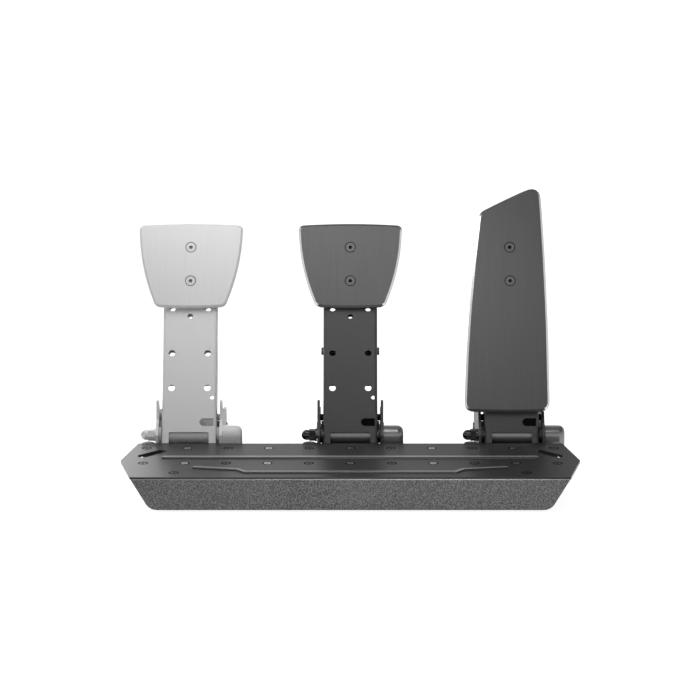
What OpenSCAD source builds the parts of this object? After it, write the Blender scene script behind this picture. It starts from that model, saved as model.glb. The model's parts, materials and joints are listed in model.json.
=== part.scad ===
// Three-pedal racing set on a bent steel heel deck, in millimetres.
// X runs across the pedals, Y away from the driver and Z up. The origin is the centre of the footprint.

/* [Base] */
// Width of the deck from tip to tip
deck_w = 420; // [400:1:460]
// Width of the deck along its straight front and back edges
deck_edge_w = 395.5; // [386:0.5:398]
// Front to back depth of the whole set
base_d = 232; // [228:1:240]
// Front to back depth of the deck
deck_d = 115; // [112:0.5:118]
// Height of the deck's top face above the floor
deck_top = 33; // [31:0.5:36]
// Thickness of the deck's sheet steel
deck_t = 2.5; // [2:0.1:3]
// Outer radius of the bend between deck and apron
bend_r = 3; // [2.8:0.1:5]
// Width of the apron along its bottom edge
apron_bottom_w = 360; // [350:1:370]
// Radius of the apron's bottom corners
apron_corner_r = 7; // [4:0.5:9]
// Thickness of the grit sheet on the apron
grip_t = 0.8; // [0.6:0.1:1.5]
// Thickness of the floor tray
tray_t = 3; // [2.5:0.1:4]
// Depth of the floor tray, from behind the apron
tray_d = 202; // [195:1:206]
// Height of the rubber feet
foot_h = 3; // [2:0.1:4]
// Radius of the rubber feet
foot_r = 9; // [6:0.5:11]
// Height of the lips that stiffen the tray's back edge behind each pedal
lip_h = 8; // [6:0.5:9]
// Width of the deck rails
rail_w = 14; // [12:0.5:18]
// Length of the deck rails
rail_len = 384; // [384:1:386]

/* [Deck details] */
// Distance of the rear screw row from the deck's back edge
rear_row = 16.2; // [14:0.2:18]
// Distance of the front screw row from the deck's back edge
front_row = 66.5; // [64:0.5:68]
// Radius of the deck screws
deck_screw_r = 2; // [1.5:0.1:2.2]
// Radius of the deck screw heads
deck_head_r = 3.4; // [3:0.1:3.6]
// Width of the open ring round each deck screw head
deck_ring = 1.2; // [0.6:0.1:1.4]
// Height that the beads stand above the deck
bead_h = 1.4; // [0.6:0.1:1.8]
// Width of the straight bead
bead_w = 8; // [6:0.2:9]
// Width of the stepped bead
step_bead_w = 6.4; // [5:0.2:7]
// Width of the diagonal slots
diagonal_slot_w = 10; // [7:0.2:11]
// Length of the diagonal slots
diagonal_slot_len = 32; // [28:1:34]

/* [Rig mount] */
// Distance between the rig slots across the set
rig_x = 151; // [148:1:154]
// Distance between the rig slots front to back
rig_y = 160; // [156:1:162]
// Width of the rig slots
rig_slot_w = 6.6; // [5.5:0.1:7]
// Length of the rig slots
rig_slot_len = 16; // [12:0.5:18]

/* [Pedal modules] */
// Distance between neighbouring pedals
pedal_pitch = 151; // [150:0.5:152]
// Height of the axles above the floor
axle_z = 37; // [36.5:0.1:38]
// Distance of the axles behind the deck's back edge
axle_back = 15.3; // [14.8:0.1:16]
// Angle that the pedals lean back from upright
lean = 28; // [26:0.5:29]
// Radius of the axles
axle_r = 4; // [3.6:0.1:4.4]
// Radius of the axle's threaded end
axle_thread_r = 3; // [2.6:0.1:3.2]
// Running clearance of shafts and rods in their bores
run_gap = 0.06; // [0.03:0.01:0.09]
// Thickness of the side plates
plate_t = 2.5; // [2:0.1:3]
// Clear width between the side plates
plate_gap = 57; // [56.6:0.1:58]
// Height of the side plates' front prongs above the axle
prong_h = 31; // [28:0.5:33]
// Height of the throttle's front prongs, which its long pad swings over
throttle_prong_h = 22; // [20:0.5:22.5]
// Radius of the stop bars
stop_bar_r = 2.2; // [1.8:0.1:2.4]
// Thickness of the rubber sleeves on the stop bars
sleeve_t = 0.9; // [0.6:0.1:1.1]
// Radius of the swivel pins
swivel_r = 3; // [2.6:0.1:3.4]
// Distance of the swivel pins behind the axles
swivel_y = 86; // [84:0.5:88]
// Depth of the swivel pins below the axles
swivel_drop = 16; // [15:0.5:17]

/* [Arms] */
// Width of the arms
arm_w = 50.8; // [50:0.1:51.2]
// Thickness of the arms' sheet steel
arm_t = 2.5; // [2:0.1:2.8]
// Distance of the arms' front face from the axle
arm_front = 10; // [9.8:0.1:10.4]
// Depth of the arms' sides behind the axle
arm_rear = 17; // [16:0.2:17.6]
// Distance between the front and the back plate of an arm
arm_hollow = 10; // [9.5:0.1:10.4]
// Sideways distance between the paired holes
hole_gap = 33.5; // [31:0.5:34.5]
// Radius of the paired holes
hole_r = 3.1; // [2.6:0.1:3.3]
// Radius of the pivot tubes
tube_r = 7.4; // [7:0.1:7.4]
// Distance of the strut pins behind the axle plane
strut_back = 11; // [10.6:0.1:11.4]
// Radius of the strut pins
strut_pin_r = 3; // [2.6:0.1:3]

/* [Pads] */
// Thickness of the pads
pad_t = 3.5; // [3:0.1:4.5]
// Gap between an arm and its pad
pad_gap = 2.5; // [2:0.1:4]
// Width of the bevel round the pads
pad_bevel = 2; // [1.4:0.1:2.2]
// Depth of the bevel round the pads
pad_bevel_depth = 1.6; // [1:0.1:2]
// Height of the two wide pads' lower edge above the axle, along the arm
wide_pad_low = 120.2; // [119:0.2:121]
// Height of the two wide pads' upper edge above the axle, along the arm
wide_pad_high = 200.7; // [199:0.2:203]
// Width of the two wide pads at the upper corners
wide_pad_top_w = 101.2; // [96:0.2:106]
// Width of the two wide pads at the lower corners
wide_pad_low_w = 67.6; // [62:0.2:70]
// Height of the throttle pad's lower edge above the axle, along the arm
long_pad_low = 19.2; // [19:0.2:21]
// Distance of the lower pad screw from the axle
pad_screw_low = 145.5; // [143:0.5:147]
// Distance between a pad's two screws
pad_screw_gap = 33; // [30:0.5:35]
// Radius of the pad screws
pad_screw_r = 2.5; // [2:0.1:2.6]
// Radius of the pad screw heads
pad_head_r = 4.5; // [4.2:0.1:4.8]
// Width of the open ring round each pad screw head
pad_ring = 0.7; // [0.4:0.1:0.9]

/* [Springs] */
// Wire radius of the light springs
wire_r = 1.2; // [0.9:0.1:1.4]
// Wire radius of the brake spring
brake_wire_r = 1.7; // [1.2:0.1:1.8]
// Mean radius of the springs
coil_r = 8.6; // [8.2:0.1:9]
// Curls of the light springs
coils = 7; // [5:1:8]
// Curls of the brake spring
brake_coils = 5; // [4:1:6]

/* [Hidden] */
$fn = 48;

// Pedal numbers, and what differs from pedal to pedal
CLUTCH = 0;
BRAKE = 1;
THROTTLE = 2;
PEDALS = [CLUTCH, BRAKE, THROTTLE];
SIDES = [-1, 1];
ARM_COLOURS = ["gainsboro", "dimgray", "dimgray"];
arm_len = [196, 196, 205];
strut_up = [60, 83.7, 60];
travel = [22, 14, 22];
eye_slack = [0.95, 0.5, 0.95];
guide_len = [43.5, 58, 43.5];
rod_end = [33.5, 40, 33.5];

// Corners of the throttle's long pad, across and up the arm
long_pad_left_tip = [-28.6, 213.2];
long_pad_right_tip = [30.2, 242.6];
long_pad_low_xs = [-44.9, 35.8];

// Heights and edges of the base
front_y = -base_d / 2;
apron_y = front_y + grip_t;
back_y = front_y + deck_d;
tray_top = foot_h + tray_t;
deck_low = deck_top - deck_t;
apron_slope = (deck_edge_w - apron_bottom_w) / 2 / (deck_top - foot_h);
support_h = deck_low - tray_top;
fit = 0.2;
cut = 1;

// Deck screw pattern: a row spans both outer pedals, four pitches between neighbouring pedals
screw_pitch = pedal_pitch / 4;
row_ys = [back_y - rear_row, back_y - front_row];
bright_steps = [-4, -2, 0, 2, 4];
dark_steps = [-5, -3, -1, 1, 3, 5];
corner_screw = [159, back_y - 97.7];
deck_screw_len = 12;
deck_socket_r = 1.3;
post_r = 5;
seat_relief = 0.1;
ring_depth = 0.8;

// Feet and tray outline
foot_xs = [-160, -55, 55, 160];
foot_ys = [front_y + 18, front_y + 190];
foot_edge = 0.8;
tray_front_y = apron_y + deck_t + fit;
grip_over = 0.8;
bend_lap = 0.3;
tray_w = 372;
tray_front_w = 350;
tray_corner_r = 8;
tray_waist_back = 40;
lip_gap = 1;
rig_mid_y = front_y + 104;

// Beads, as half lengths and distances from the deck's back edge
bead_half = 170;
bead_back = 48.5;
step_bead = [[141, 82], [102, 89], [95, 97]];
diagonal_slot_at = [182.5, 35];

// Places and sizes round each axle
axle_y = back_y + axle_back;
plate_in = plate_gap / 2;
plate_out = plate_in + plate_t;
plate_back = base_d / 2 - axle_y;
plate_front = 13;
foot_flange_w = 19;
foot_flange_t = 2.5;
foot_flange_short = 30;
bush_r = axle_r + 1.5;
bush_flange_r = axle_r + 3.5;
arm_side = arm_w / 2;
arm_in = arm_side - arm_t;
side_gap = 0.4;
bolt_xs = [-20, 20];
bolt_ys = [-4, 30, 62];
bolt_r = 3;
bolt_head_r = 5;
bolt_head_h = 3;

// The stop bar's place in the arm's frame: distance from the axle and angle from the arm's front
stop_r = 21;
stop_angle = 115;
stop_y = -stop_r * cos(stop_angle + lean);
stop_z = stop_r * sin(stop_angle + lean);
sleeve_r = stop_bar_r + sleeve_t;
stop_slot_r = sleeve_r + 0.35;
sleeve_inside = 2;
pin_head_t = 1.6;

// The arm's outline and openings, across and up the arm from the axle
arm_low = -10;
arm_heel = 6;
arm_bend_r = 3.2;
arm_top_rear = 4;
side_over_pin = 10;
side_taper = 34;
window_half = 18.7;
window_r = 2;
window_top = 0.5;
slot_r = 3.75;
slot_at = [13.75, 10];
edge_hole = [arm_in - 1.4, 33.8];
edge_hole_r = 2;
hole_rows = [43, 76.7, 120.4];
centre_hole = 112.6;
centre_hole_r = 2.5;

// The plates inside the arm
back_low = 47.5;
back_short = 4;
back_gap = 0.05;
liner_gap = 0.5;
liner_h = 8.8;

// The axle's ends, its nut and the pads' fasteners
axle_head = 0.2;
thread_out = 11;
circlip_at = [0.4, 1.6];
magnet_at = [2.5, 5];
washer_at = [0.4, 2];
washer_r = 6;
nut_out = 7.5;
nut_r = 5.77;
nut_waist = 0.5;
dome_out = 10;
dome_r = 4.8;
boss_r = 8;
pad_nut_h = 4;
pad_nut_r = 4.6;
pad_socket_r = 1.8;
screw_over = 0.5;
strut_head = [0, 2.1, 0];
spacer_wall = 2;
rod_collar = 1.5;

// The strut: from the swivel pin up to the pin in the arm
strut_y = [for (k = PEDALS) strut_up[k] * sin(lean) + strut_back * cos(lean)];
strut_z = [for (k = PEDALS) strut_up[k] * cos(lean) - strut_back * sin(lean)];
strut_len = [for (k = PEDALS) norm([swivel_y - strut_y[k], strut_z[k] + swivel_drop])];
strut_tilt = [for (k = PEDALS) atan2(swivel_y - strut_y[k], strut_z[k] + swivel_drop)];
guide_r = 5.5;
barrel_r = swivel_r + 3.2;
seat_r = coil_r + 2.4;
seat_low = 9.5;
seat_t = 2.5;
collar_up = 12;
collar_t = 2.5;
rod_r = 3;
eye_half = 6;
eye_wall = 3;
elastomer_h = 14;
cell_h = 7;
spring_low = [seat_low + seat_t, seat_low + seat_t + elastomer_h + cell_h, seat_low + seat_t];
spring_wire = [wire_r, brake_wire_r, wire_r];
spring_coils = [coils, brake_coils, coils];

// The sensor cover on the right side plate
cover_len = 18.7;
cover_r = 9;
cover_wall = 2;
cover_drop = 10;
cover_dome = 5.4;
board_t = 1.6;
board_x = plate_out + 7.6;
board_rise = 1.2;
grommet_x = plate_out + 12;
grommet_drop = 4.5;
grommet_r = 2.9;
grommet_lip = 1.6;
lead_r = 1.7;

// The electronics box behind the deck, between clutch and brake
case_mid = [-pedal_pitch / 2 - 4.5, back_y + 22];
case_w = 60;
case_d = 34;
case_h = 14;
case_wall = 1.6;
case_split = 7;
jack_w = 13;
jack_h = 11;
jack_d = 13;
jack_gap = 1.5;
usb_w = 11;
socket_wall = 1.4;

// A pedal's place across the set
function pedal_x(k) = (k - BRAKE) * pedal_pitch;

// Points along a corner that starts and ends a distance r from its vertex b
function corner(a, b, c, r, n) =
    let (p = b + r * (a - b) / norm(a - b), q = b + r * (c - b) / norm(c - b))
    [for (i = [0 : n]) let (t = i / n) (1 - t) * (1 - t) * p + 2 * t * (1 - t) * b + t * t * q];

// Points between two corners on a side that swells outward by a bulge, going clockwise
function swell(p, q, bulge, n) =
    let (d = q - p, out = [-d[1], d[0]] / norm(d))
    [for (i = [1 : n - 1]) let (t = i / n) p + t * d + 4 * t * (1 - t) * bulge * out];

// A closed outline through vertices v with corner sizes r and side swells b
function soft_outline(v, r, b) =
    let (n = len(v))
    [for (i = [0 : n - 1])
        let (here = corner(v[(i + n - 1) % n], v[i], v[(i + 1) % n], r[i], 6),
             next = corner(v[i], v[(i + 1) % n], v[(i + 2) % n], r[(i + 1) % n], 6))
        each concat(here, swell(here[6], next[0], b[i], 8))];

wide_top = wide_pad_top_w / 2;
wide_low = wide_pad_low_w / 2;
wide_outline = soft_outline(
    [[-wide_top, wide_pad_high], [wide_top, wide_pad_high],
        [wide_low, wide_pad_low], [-wide_low, wide_pad_low]],
    [8, 8, 7, 7],
    [1.3, 2.9, 0.8, 2.9]);
long_outline = soft_outline(
    [long_pad_left_tip, long_pad_right_tip,
        [long_pad_low_xs[1], long_pad_low], [long_pad_low_xs[0], long_pad_low]],
    [6, 19, 10, 10],
    [0.3, 1.4, 0.6, 2.1]);
pad_outline = [wide_outline, wide_outline, long_outline];

// An obround along X, centred, rising from z = 0
module obround(length, width, height) {
    for (s = SIDES) translate([s * (length - width) / 2, 0, 0]) cylinder(r = width / 2, h = height);
    translate([-(length - width) / 2, -width / 2, 0]) cube([length - width, width, height]);
}

// A round rod along X between two ends
module rod_x(x0, x1, r) {
    translate([x0, 0, 0]) rotate([0, 90, 0]) cylinder(r = r, h = x1 - x0);
}

// A countersunk screw that points down, with its head's top at z = 0
module countersunk(head_r, shank_r, length, socket_r) {
    difference() {
        union() {
            translate([0, 0, shank_r - head_r]) cylinder(r1 = shank_r, r2 = head_r, h = head_r - shank_r);
            translate([0, 0, -length]) cylinder(r = shank_r, h = length - (head_r - shank_r));
        }
        translate([0, 0, -head_r * 0.4]) cylinder(r = socket_r, h = head_r, $fn = 6);
    }
}

// The seat of a countersunk screw in a sheet whose top is at z = 0, with an open ring round the head
module screw_seat(head_r, shank_r, depth, relief, ring) {
    translate([0, 0, shank_r - head_r])
        cylinder(r1 = shank_r + relief, r2 = head_r + relief, h = head_r - shank_r);
    translate([0, 0, -ring_depth]) cylinder(r = head_r + ring, h = ring_depth + cut);
    translate([0, 0, -depth]) cylinder(r = shank_r + relief, h = depth);
}

// Frames that the pieces are drawn in
module at_axle(k) {
    translate([pedal_x(k), axle_y, axle_z]) children();
}

// In the arm's frame Z runs up the arm and -Y is its front
module in_arm(k) {
    at_axle(k) rotate([-lean, 0, 0]) children();
}

// In the strut's frame Z runs from the swivel pin towards the arm
module in_strut(k) {
    at_axle(k) translate([0, swivel_y, -swivel_drop]) rotate([strut_tilt[k], 0, 0]) children();
}

// Base pieces

module apron_shape(top) {
    half_top = apron_bottom_w / 2 + apron_slope * (top - foot_h);
    half_low = apron_bottom_w / 2;
    polygon(concat(
        [[-half_top, top], [half_top, top]],
        corner([half_top, top], [half_low, foot_h], [-half_low, foot_h], apron_corner_r, 8),
        corner([half_low, foot_h], [-half_low, foot_h], [-half_top, top], apron_corner_r, 8)));
}

// The outline of a bead through points, with mitred corners and round ends
function turn_left(d) = [-d[1], d[0]];
function heading(p, q) = (q - p) / norm(q - p);
function round_end(p, d, w) = [for (a = [0 : 15 : 180]) p + w * (cos(a) * turn_left(d) + sin(a) * d)];
function bead_outline(points, width) =
    let (n = len(points), w = width / 2,
         mitres = [for (i = [1 : 1 : n - 2])
            let (a = turn_left(heading(points[i - 1], points[i])),
                 b = turn_left(heading(points[i], points[i + 1])))
            w * (a + b) / (1 + a * b)])
    concat(
        [for (i = [1 : 1 : n - 2]) points[i] + mitres[i - 1]],
        round_end(points[n - 1], heading(points[n - 2], points[n - 1]), w),
        [for (i = [n - 2 : -1 : 1]) points[i] - mitres[i - 1]],
        round_end(points[0], heading(points[1], points[0]), w));

module bead(points, width) {
    translate([0, 0, deck_top - deck_t / 2]) linear_extrude(bead_h + deck_t / 2)
        polygon(bead_outline(points, width));
}

module deck_screw_places(steps) {
    for (y = row_ys, i = steps) translate([i * screw_pitch, y, deck_top]) children();
}

module corner_screw_places() {
    for (s = SIDES) translate([s * corner_screw[0], corner_screw[1], deck_top]) children();
}

module heel_deck() {
    half = deck_edge_w / 2;
    bend_y = apron_y + bend_r;
    color("dimgray") difference() {
        union() {
            translate([0, 0, deck_low]) linear_extrude(deck_t)
                polygon([
                    [-half, back_y], [half, back_y], [deck_w / 2, (back_y + front_y) / 2],
                    [half, bend_y], [-half, bend_y], [-deck_w / 2, (back_y + front_y) / 2]]);
            intersection() {
                difference() {
                    translate([-half, bend_y, deck_top - bend_r]) rotate([0, 90, 0])
                        cylinder(r = bend_r, h = deck_edge_w);
                    translate([-half - cut, bend_y, deck_top - bend_r]) rotate([0, 90, 0])
                        cylinder(r = bend_r - deck_t, h = deck_edge_w + 2 * cut);
                    translate([-half - cut, bend_y, 0])
                        cube([deck_edge_w + 2 * cut, bend_r + cut, deck_low]);
                    translate([-half - cut, bend_y + bend_lap, 0])
                        cube([deck_edge_w + 2 * cut, bend_r + cut, deck_top + cut]);
                    translate([-half - cut, apron_y + deck_t, 0])
                        cube([deck_edge_w + 2 * cut, 2 * bend_r, deck_top - bend_r]);
                    translate([-half - cut, apron_y - cut, 0])
                        cube([deck_edge_w + 2 * cut, 2 * bend_r, deck_top - bend_r - bend_lap]);
                }
                translate([0, bend_y + cut, 0]) rotate([90, 0, 0]) linear_extrude(bend_r + 2 * cut)
                    apron_shape(deck_top + bend_r);
            }
            translate([0, apron_y + deck_t, 0]) rotate([90, 0, 0]) linear_extrude(deck_t)
                apron_shape(deck_top - bend_r);
            bead([for (x = [-bead_half, bead_half]) [x, back_y - bead_back]], bead_w);
            bead(concat(
                [for (p = step_bead) [-p[0], back_y - p[1]]],
                [for (i = [2, 1, 0]) [step_bead[i][0], back_y - step_bead[i][1]]]), step_bead_w);
        }
        deck_screw_places(concat(bright_steps, dark_steps))
            screw_seat(deck_head_r, deck_screw_r, deck_t + cut, seat_relief, deck_ring);
        corner_screw_places() screw_seat(deck_head_r, deck_screw_r, deck_t + cut, seat_relief, deck_ring);
        for (s = SIDES) translate([s * diagonal_slot_at[0], back_y - diagonal_slot_at[1], deck_low - cut])
            rotate(-s * 45) obround(diagonal_slot_len, diagonal_slot_w, deck_t + 2 * cut);
    }
}

module grip_sheet() {
    color("gray") translate([0, apron_y, 0]) rotate([90, 0, 0])
        linear_extrude(grip_t) apron_shape(deck_top - bend_r + grip_over);
}

module base_tray() {
    back = tray_front_y + tray_d;
    outline = soft_outline(
        [[-tray_w / 2, back], [tray_w / 2, back], [tray_w / 2, back_y - tray_waist_back],
            [tray_front_w / 2, tray_front_y], [-tray_front_w / 2, tray_front_y],
            [-tray_w / 2, back_y - tray_waist_back]],
        [for (i = [1 : 6]) tray_corner_r],
        [for (i = [1 : 6]) 0]);
    color("darkslategray") difference() {
        union() {
            translate([0, 0, foot_h]) linear_extrude(tray_t) polygon(outline);
            for (k = PEDALS) translate([pedal_x(k) - plate_in + lip_gap, back - tray_t, foot_h])
                cube([plate_gap - 2 * lip_gap, tray_t, tray_t + lip_h]);
        }
        for (sx = SIDES, sy = SIDES)
            translate([sx * rig_x / 2, rig_mid_y + sy * rig_y / 2, foot_h - cut])
                obround(rig_slot_len, rig_slot_w, tray_t + 2 * cut);
        for (k = PEDALS, x = bolt_xs, y = bolt_ys)
            translate([pedal_x(k) + x, axle_y + y, foot_h - cut]) {
                cylinder(r = bolt_r + run_gap, h = tray_t + 2 * cut);
                translate([0, 0, tray_t + 2 * cut]) cylinder(r = bolt_head_r + run_gap, h = lip_h);
            }
    }
}

module deck_supports() {
    hole_h = deck_screw_len + cut;
    color("slategray") difference() {
        union() {
            for (y = row_ys) translate([-rail_len / 2, y - rail_w / 2, tray_top])
                cube([rail_len, rail_w, support_h]);
            for (s = SIDES) translate([s * corner_screw[0], corner_screw[1], tray_top])
                cylinder(r = post_r, h = support_h);
        }
        deck_screw_places(concat(bright_steps, dark_steps))
            translate([0, 0, -hole_h]) cylinder(r = deck_screw_r + run_gap, h = hole_h);
        corner_screw_places() translate([0, 0, -hole_h]) cylinder(r = deck_screw_r + run_gap, h = hole_h);
    }
}

module deck_screw() {
    countersunk(deck_head_r, deck_screw_r, deck_screw_len, deck_socket_r);
}

module deck_screws_bright() {
    color("silver") deck_screw_places(bright_steps) deck_screw();
}

module deck_screws_dark() {
    color("black") {
        deck_screw_places(dark_steps) deck_screw();
        corner_screw_places() deck_screw();
    }
}

module rubber_feet() {
    color("black") for (x = foot_xs, y = foot_ys) translate([x, y, 0]) {
        cylinder(r1 = foot_r - foot_edge, r2 = foot_r, h = foot_edge);
        translate([0, 0, foot_edge]) cylinder(r = foot_r, h = foot_h - foot_edge);
    }
}

// Electronics box

function jack_x(i) = case_mid[0] - case_w / 2 + case_wall + fit + jack_w / 2 + i * (jack_w + jack_gap);
usb_x = jack_x(2) + jack_w / 2 + jack_gap + usb_w / 2;
jack_back = case_mid[1] + case_d / 2;
jack_low = tray_top + case_wall + 0.3;
socket_gap = 0.1;
socket_back_t = 3;
case_mouth = 2 * case_wall;

module case_block(low, high) {
    translate([case_mid[0] - case_w / 2, case_mid[1] - case_d / 2, tray_top + low])
        cube([case_w, case_d, high - low]);
}

module socket_cut(margin) {
    for (i = [0 : 2]) translate([jack_x(i) - jack_w / 2 - margin, jack_back - jack_d, jack_low - margin])
        cube([jack_w + 2 * margin, jack_d + cut, jack_h + 2 * margin]);
    translate([usb_x - usb_w / 2 - margin, jack_back - jack_d, jack_low - margin])
        cube([usb_w + 2 * margin, jack_d + cut, jack_h + 2 * margin]);
}

module case_hollow(low, high) {
    translate([case_mid[0] - case_w / 2 + case_wall, case_mid[1] - case_d / 2 + case_wall, tray_top + low])
        cube([case_w - case_mouth, case_d - case_mouth, high - low]);
}

module controller_case() {
    color("black") difference() {
        case_block(0, case_split);
        case_hollow(case_wall, case_split + cut);
        socket_cut(socket_gap);
    }
}

module controller_cover() {
    color("darkslategray") difference() {
        case_block(case_split, case_h);
        case_hollow(case_split - cut, case_h - case_wall / 2);
        socket_cut(socket_gap);
    }
}

module controller_board() {
    color("darkgreen")
        translate([case_mid[0] - case_w / 2 + case_wall + fit, case_mid[1] - case_d / 2 + case_wall + fit,
            tray_top + case_wall])
            cube([case_w - case_mouth - 2 * fit, case_d - jack_d - case_mouth, board_t]);
}

module socket_row() {
    color("gray") for (i = [0 : 3]) {
        x = i < 3 ? jack_x(i) : usb_x;
        w = i < 3 ? jack_w : usb_w;
        difference() {
            translate([x - w / 2, jack_back - jack_d + socket_gap, jack_low])
                cube([w, jack_d - socket_gap, jack_h]);
            translate([x - w / 2 + socket_wall, jack_back - jack_d + socket_back_t, jack_low + socket_wall])
                cube([w - 2 * socket_wall, jack_d, jack_h - 2 * socket_wall]);
        }
    }
}

// Pieces shared by the pedal modules

module axle_bushes() {
    color("goldenrod") for (k = PEDALS, s = SIDES) at_axle(k) scale([s, 1, 1]) difference() {
        union() {
            rod_x(arm_side + side_gap, plate_in, bush_flange_r);
            rod_x(plate_in - cut, plate_out, bush_r);
        }
        rod_x(arm_side - cut, plate_out + cut, axle_r + run_gap);
    }
}

module stop_bars() {
    color("dimgray") for (k = PEDALS) at_axle(k) translate([0, stop_y, stop_z])
        rod_x(-plate_out, plate_out, stop_bar_r);
}

module stop_sleeves() {
    color("black") for (k = PEDALS, s = SIDES) at_axle(k) translate([0, stop_y, stop_z]) scale([s, 1, 1])
        difference() {
        rod_x(arm_in - sleeve_inside, plate_in, sleeve_r);
        rod_x(arm_in - sleeve_inside - cut, plate_in + cut, stop_bar_r);
    }
}

module swivel_pins() {
    color("silver") for (k = PEDALS) at_axle(k) translate([0, swivel_y, -swivel_drop]) {
        rod_x(-plate_out - cut, plate_out + cut, swivel_r);
        for (s = SIDES) scale([s, 1, 1]) rod_x(plate_out, plate_out + pin_head_t, swivel_r + pin_head_t);
    }
}

module module_bolts() {
    top = tray_top + foot_flange_t;
    color("black") for (k = PEDALS, x = bolt_xs, y = bolt_ys) translate([pedal_x(k) + x, axle_y + y, top])
        difference() {
        union() {
            cylinder(r = bolt_head_r, h = bolt_head_h);
            translate([0, 0, foot_h - top]) cylinder(r = bolt_r, h = top - foot_h + cut / 2);
        }
        translate([0, 0, bolt_head_h / 2]) cylinder(r = bolt_head_r / 2, h = bolt_head_h, $fn = 6);
    }
}

ear_x = -plate_out - 7.2;
ear_y = -7;
ear_r = 6.8;
ear_top = deck_top - 3.4;
ear_head_h = 1.4;
ear_rim = 0.6;

module ear_posts() {
    color("silver") for (k = PEDALS) translate([pedal_x(k) + ear_x, axle_y + ear_y, 0]) {
        translate([0, 0, tray_top]) cylinder(r = post_r, h = ear_top - plate_t - tray_top);
        translate([0, 0, ear_top - plate_t]) cylinder(r = axle_thread_r, h = plate_t);
        translate([0, 0, ear_top]) cylinder(r = ear_r - ear_rim, h = ear_head_h);
    }
}

module sensor_boards() {
    color("darkgreen") for (k = PEDALS) at_axle(k)
        translate([board_x, -cover_r + cover_wall + fit, -cover_drop + cover_wall])
            cube([board_t, 2 * (cover_r - cover_wall - fit), cover_drop - cover_wall + board_rise]);
}

module sensor_grommets() {
    color("black") for (k = PEDALS) at_axle(k) translate([grommet_x, cover_r, -grommet_drop])
        rotate([90, 0, 0]) difference() {
        union() {
            translate([0, 0, -grommet_lip]) cylinder(r = grommet_r + 0.9, h = grommet_lip);
            cylinder(r = grommet_r, h = cover_wall);
        }
        translate([0, 0, -grommet_lip - cut]) cylinder(r = lead_r, h = grommet_lip + cover_wall + 2 * cut);
    }
}

// One pedal module's fixed pieces

module plate_profile(k) {
    low = tray_top - axle_z;
    top = k == THROTTLE ? throttle_prong_h : prong_h;
    polygon([
        [-plate_front, low], [-plate_front, 3], [-6, 9], [3, 14], [6.5, top - 2], [8, top],
        [11, top], [13, top - 2], [20, 19], [40, 14.5], [70, 6], [plate_back - 7, 2],
        [plate_back, -4], [plate_back, low]]);
}

module side_plate(k, s) {
    low = tray_top - axle_z;
    at_axle(k) scale([s, 1, 1]) difference() {
        union() {
            translate([plate_in, 0, 0]) rotate([90, 0, 90]) linear_extrude(plate_t) plate_profile(k);
            translate([plate_out - foot_flange_w, -plate_front, low])
                cube([
                    foot_flange_w - plate_t / 2, plate_front + plate_back - foot_flange_short, foot_flange_t]);
        }
        rod_x(plate_in - cut, plate_out + cut, bush_r);
        translate([0, stop_y, stop_z]) rod_x(plate_in - cut, plate_out + cut, stop_bar_r);
        translate([0, swivel_y, -swivel_drop]) rod_x(plate_in - cut, plate_out + cut, swivel_r);
        for (y = bolt_ys) translate([bolt_xs[1], y, low - cut])
            cylinder(r = bolt_r + fit, h = foot_flange_t + 2 * cut);
    }
}

module left_plate(k) {
    color(ARM_COLOURS[k]) {
        side_plate(k, -1);
        translate([pedal_x(k) + ear_x, axle_y + ear_y, ear_top - plate_t]) difference() {
            union() {
                cylinder(r = ear_r, h = plate_t);
                translate([0, -ear_r, 0]) cube([-plate_out - ear_x + plate_t / 2, 2 * ear_r, plate_t]);
            }
            translate([0, 0, -cut]) cylinder(r = axle_thread_r, h = plate_t + 2 * cut);
        }
    }
}

module right_plate(k) {
    color(ARM_COLOURS[k]) side_plate(k, 1);
}

module cover_profile(r, drop) {
    circle(r = r);
    translate([-r, -drop]) square([2 * r, drop]);
}

module sensor_cover(k) {
    body_len = cover_len - cover_dome;
    color(ARM_COLOURS[k]) at_axle(k) difference() {
        union() {
            translate([plate_out, 0, 0]) rotate([90, 0, 90]) linear_extrude(body_len)
                cover_profile(cover_r, cover_drop);
            hull() for (a = [0, 30, 60, 85])
                translate([plate_out + body_len - 0.1 + cover_dome * sin(a), 0, 0]) rotate([90, 0, 90])
                    linear_extrude(0.1)
                        cover_profile(cover_r - cover_dome * (1 - cos(a)), cover_drop, $fn = 32);
        }
        translate([plate_out - cut, 0, 0]) rotate([90, 0, 90])
            linear_extrude(body_len + cut + 1) cover_profile(cover_r - cover_wall, cover_drop - cover_wall);
        translate([grommet_x, 0, -grommet_drop]) rotate([-90, 0, 0])
            cylinder(r = grommet_r, h = cover_r + cut);
    }
}

// One pedal's swinging pieces

module arm_section() {
    r = arm_bend_r;
    difference() {
        union() {
            translate([-arm_side, -arm_front + r]) square([arm_w, arm_front + arm_rear - r]);
            translate([-arm_side + r, -arm_front]) square([arm_w - 2 * r, r + cut]);
            for (s = SIDES) translate([s * (arm_side - r), -arm_front + r]) circle(r = r);
        }
        translate([-arm_in, -arm_front + arm_t]) square([2 * arm_in, arm_front + arm_rear]);
    }
}

module arm_side_profile(k) {
    polygon([
        [-arm_front - cut, arm_low], [arm_heel, arm_low], [arm_rear, 0],
        [arm_rear, strut_up[k] + side_over_pin],
        [arm_top_rear, strut_up[k] + side_taper], [arm_top_rear, arm_len[k]], [-arm_front - cut, arm_len[k]]]);
}

module stop_slot(k) {
    end = stop_angle - travel[k];
    rotate([0, 90, 0]) {
        for (a = [stop_angle, end]) rotate(-a) translate([0, -stop_r, -arm_side - cut])
            cylinder(r = stop_slot_r, h = arm_w + 2 * cut);
        translate([0, 0, -arm_side - cut]) rotate(-90 - stop_angle)
            rotate_extrude(angle = stop_angle - end) translate([stop_r - stop_slot_r, 0])
                square([2 * stop_slot_r, arm_w + 2 * cut]);
    }
}

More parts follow.
